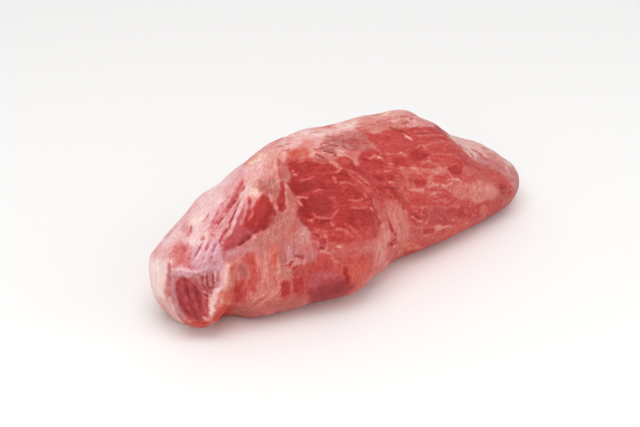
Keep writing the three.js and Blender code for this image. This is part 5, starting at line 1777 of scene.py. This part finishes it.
    def sum(
        self,
        tree: bpy.types.NodeTree,
        place: tuple[int, int],
        shares: tuple[tuple[bpy.types.NodeSocket, bpy.types.NodeSocket | float], ...],
        start: float = 0.0,
    ) -> bpy.types.NodeSocket:
        """Add up sockets, each times its share, from a starting value on.

        Args:
            tree: the material's nodes.
            place: where the first node lies in the editor.
            shares: the sockets, each with the number or the socket that it is multiplied by.
            start: the value that the sum begins with.

        Returns:
            The sum.
        """
        total: bpy.types.NodeSocket | float = start
        for i, (value, share) in enumerate(shares):
            spot = (place[0], place[1] - 40 * i)
            inputs = {0: value, 1: share, 2: total}
            node = add_node(tree, "ShaderNodeMath", spot, {"operation": "MULTIPLY_ADD"}, inputs)
            total = node.outputs[0]
        return total


def add_node(
    tree: bpy.types.NodeTree,
    kind: str,
    place: tuple[int, int],
    settings: dict[str, object] | None = None,
    inputs: dict[str | int, object] | None = None,
) -> bpy.types.Node:
    """Add a node, set it up and link what leads into it.

    Args:
        tree: the node tree.
        kind: Blender's name for the node's type.
        place: where the node lies in the editor.
        settings: its own properties.
        inputs: for each input, either a value or the socket that leads into it.

    Returns:
        The node.
    """
    node = tree.nodes.new(kind)
    node.location = place
    for name, value in (settings or {}).items():
        setattr(node, name, value)
    for name, value in (inputs or {}).items():
        shown = [s for s in node.inputs if s.enabled]
        socket = node.inputs[name] if isinstance(name, int) else next(s for s in shown if s.name == name)
        if isinstance(value, bpy.types.NodeSocket):
            tree.links.new(value, socket)
        else:
            socket.default_value = value
    return node


@dataclass
class EyeRound:
    """The whole muscle as one piece."""

    view: Viewpoint
    finish: RawBeefFinish = RawBeefFinish()
    muscle: Muscle = field(default_factory=Muscle)

    def build(self) -> bpy.types.Object:
        """Make the mesh with its tissues as attributes, and dress it.

        Returns:
            The finished piece, which stands for the solid.
        """
        self.muscle.shape()
        tissues = Tissues(self.muscle, self.view)
        points = tissues.paint()
        mesh = bpy.data.meshes.new("beef_eye_round")
        mesh.from_pydata((points * MM).tolist(), [], self.muscle.quads.tolist())
        for name, values in tissues.looks.items():
            attribute = mesh.attributes.new(name, "FLOAT", "POINT")
            attribute.data.foreach_set("value", values.astype(np.float32))
        grain = mesh.attributes.new("grain", "FLOAT_VECTOR", "POINT")
        grain.data.foreach_set("vector", tissues.grain.astype(np.float32).ravel())
        mesh.shade_smooth()
        mesh.update()
        mesh.materials.append(self.finish.material())
        piece = bpy.data.objects.new("beef_eye_round", mesh)
        bpy.context.scene.collection.objects.link(piece)
        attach(piece, BODY)
        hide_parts(NODE)
        return piece


@dataclass(frozen=True)
class Lamp:
    """One soft square lamp that faces the meat. Its place and its side are in metres, its power in watts."""

    name: str
    place: tuple[float, float, float]
    side: float
    power: float

    def hang(self) -> None:
        """Make the lamp."""
        data = bpy.data.lights.new(self.name, "AREA")
        data.size, data.energy = self.side, self.power
        lamp = bpy.data.objects.new(self.name, data)
        back = unit(np.array(self.place))
        right = unit(np.cross([0.0, 0.0, 1.0], back))
        turned = Matrix(np.stack([right, np.cross(back, right), back], axis=1).tolist()).to_4x4()
        turned.translation = self.place
        lamp.matrix_world = turned
        bpy.context.scene.collection.objects.link(lamp)


@dataclass(frozen=True)
class Studio:
    """A plain pale floor and soft light from above, from the left and from behind the camera."""

    floor_colour: str = "f7f6f5"
    floor_size: float = 6.0
    floor_roughness: float = 0.9
    room_colour: str = "ffffff"
    room_strength: float = 0.66
    lamps: tuple[Lamp, ...] = (
        Lamp("soft_top", (-0.35, -0.25, 1.3), 1.0, 7.7),
        Lamp("soft_left", (-1.1, -0.9, 0.8), 0.9, 2.8),
        Lamp("soft_right", (1.0, -1.0, 0.8), 0.9, 2.8),
    )

    def floor(self) -> None:
        """Make the floor, one large pale plate, with its size in metres."""
        half = self.floor_size / 2
        corners = [(-half, -half, 0), (half, -half, 0), (half, half, 0), (-half, half, 0)]
        mesh = bpy.data.meshes.new("pale_floor")
        mesh.from_pydata(corners, [], [(0, 1, 2, 3)])
        material = bpy.data.materials.new("pale_matt_board")
        material.use_nodes = True
        shader = material.node_tree.nodes["Principled BSDF"]
        shader.inputs["Base Color"].default_value = linear(self.floor_colour)
        shader.inputs["Roughness"].default_value = self.floor_roughness
        mesh.materials.append(material)
        plate = bpy.data.objects.new("pale_floor", mesh)
        bpy.context.scene.collection.objects.link(plate)

    def build(self) -> None:
        """Make the floor, the lamps and the pale surroundings."""
        self.floor()
        for lamp in self.lamps:
            lamp.hang()
        world = bpy.data.worlds.new("pale_room")
        world.use_nodes = True
        sky = world.node_tree.nodes["Background"]
        sky.inputs["Color"].default_value = linear(self.room_colour)
        sky.inputs["Strength"].default_value = self.room_strength
        bpy.context.scene.world = world
        bpy.context.scene.view_settings.view_transform = "Standard"


def main() -> None:
    """Build the camera, the meat and its surroundings, and log the meat's points and faces and the number of
    lamps.
    """
    logging.basicConfig(level=logging.INFO, format="%(name)s: %(message)s")
    view = Viewpoint()
    view.camera()
    piece = EyeRound(view).build()
    log.info("%s: %d points, %d faces", piece.name, len(piece.data.vertices), len(piece.data.polygons))
    studio = Studio()
    studio.build()
    log.info("pale floor and %d soft lamps", len(studio.lamps))


if __name__ == "__main__":
    main()
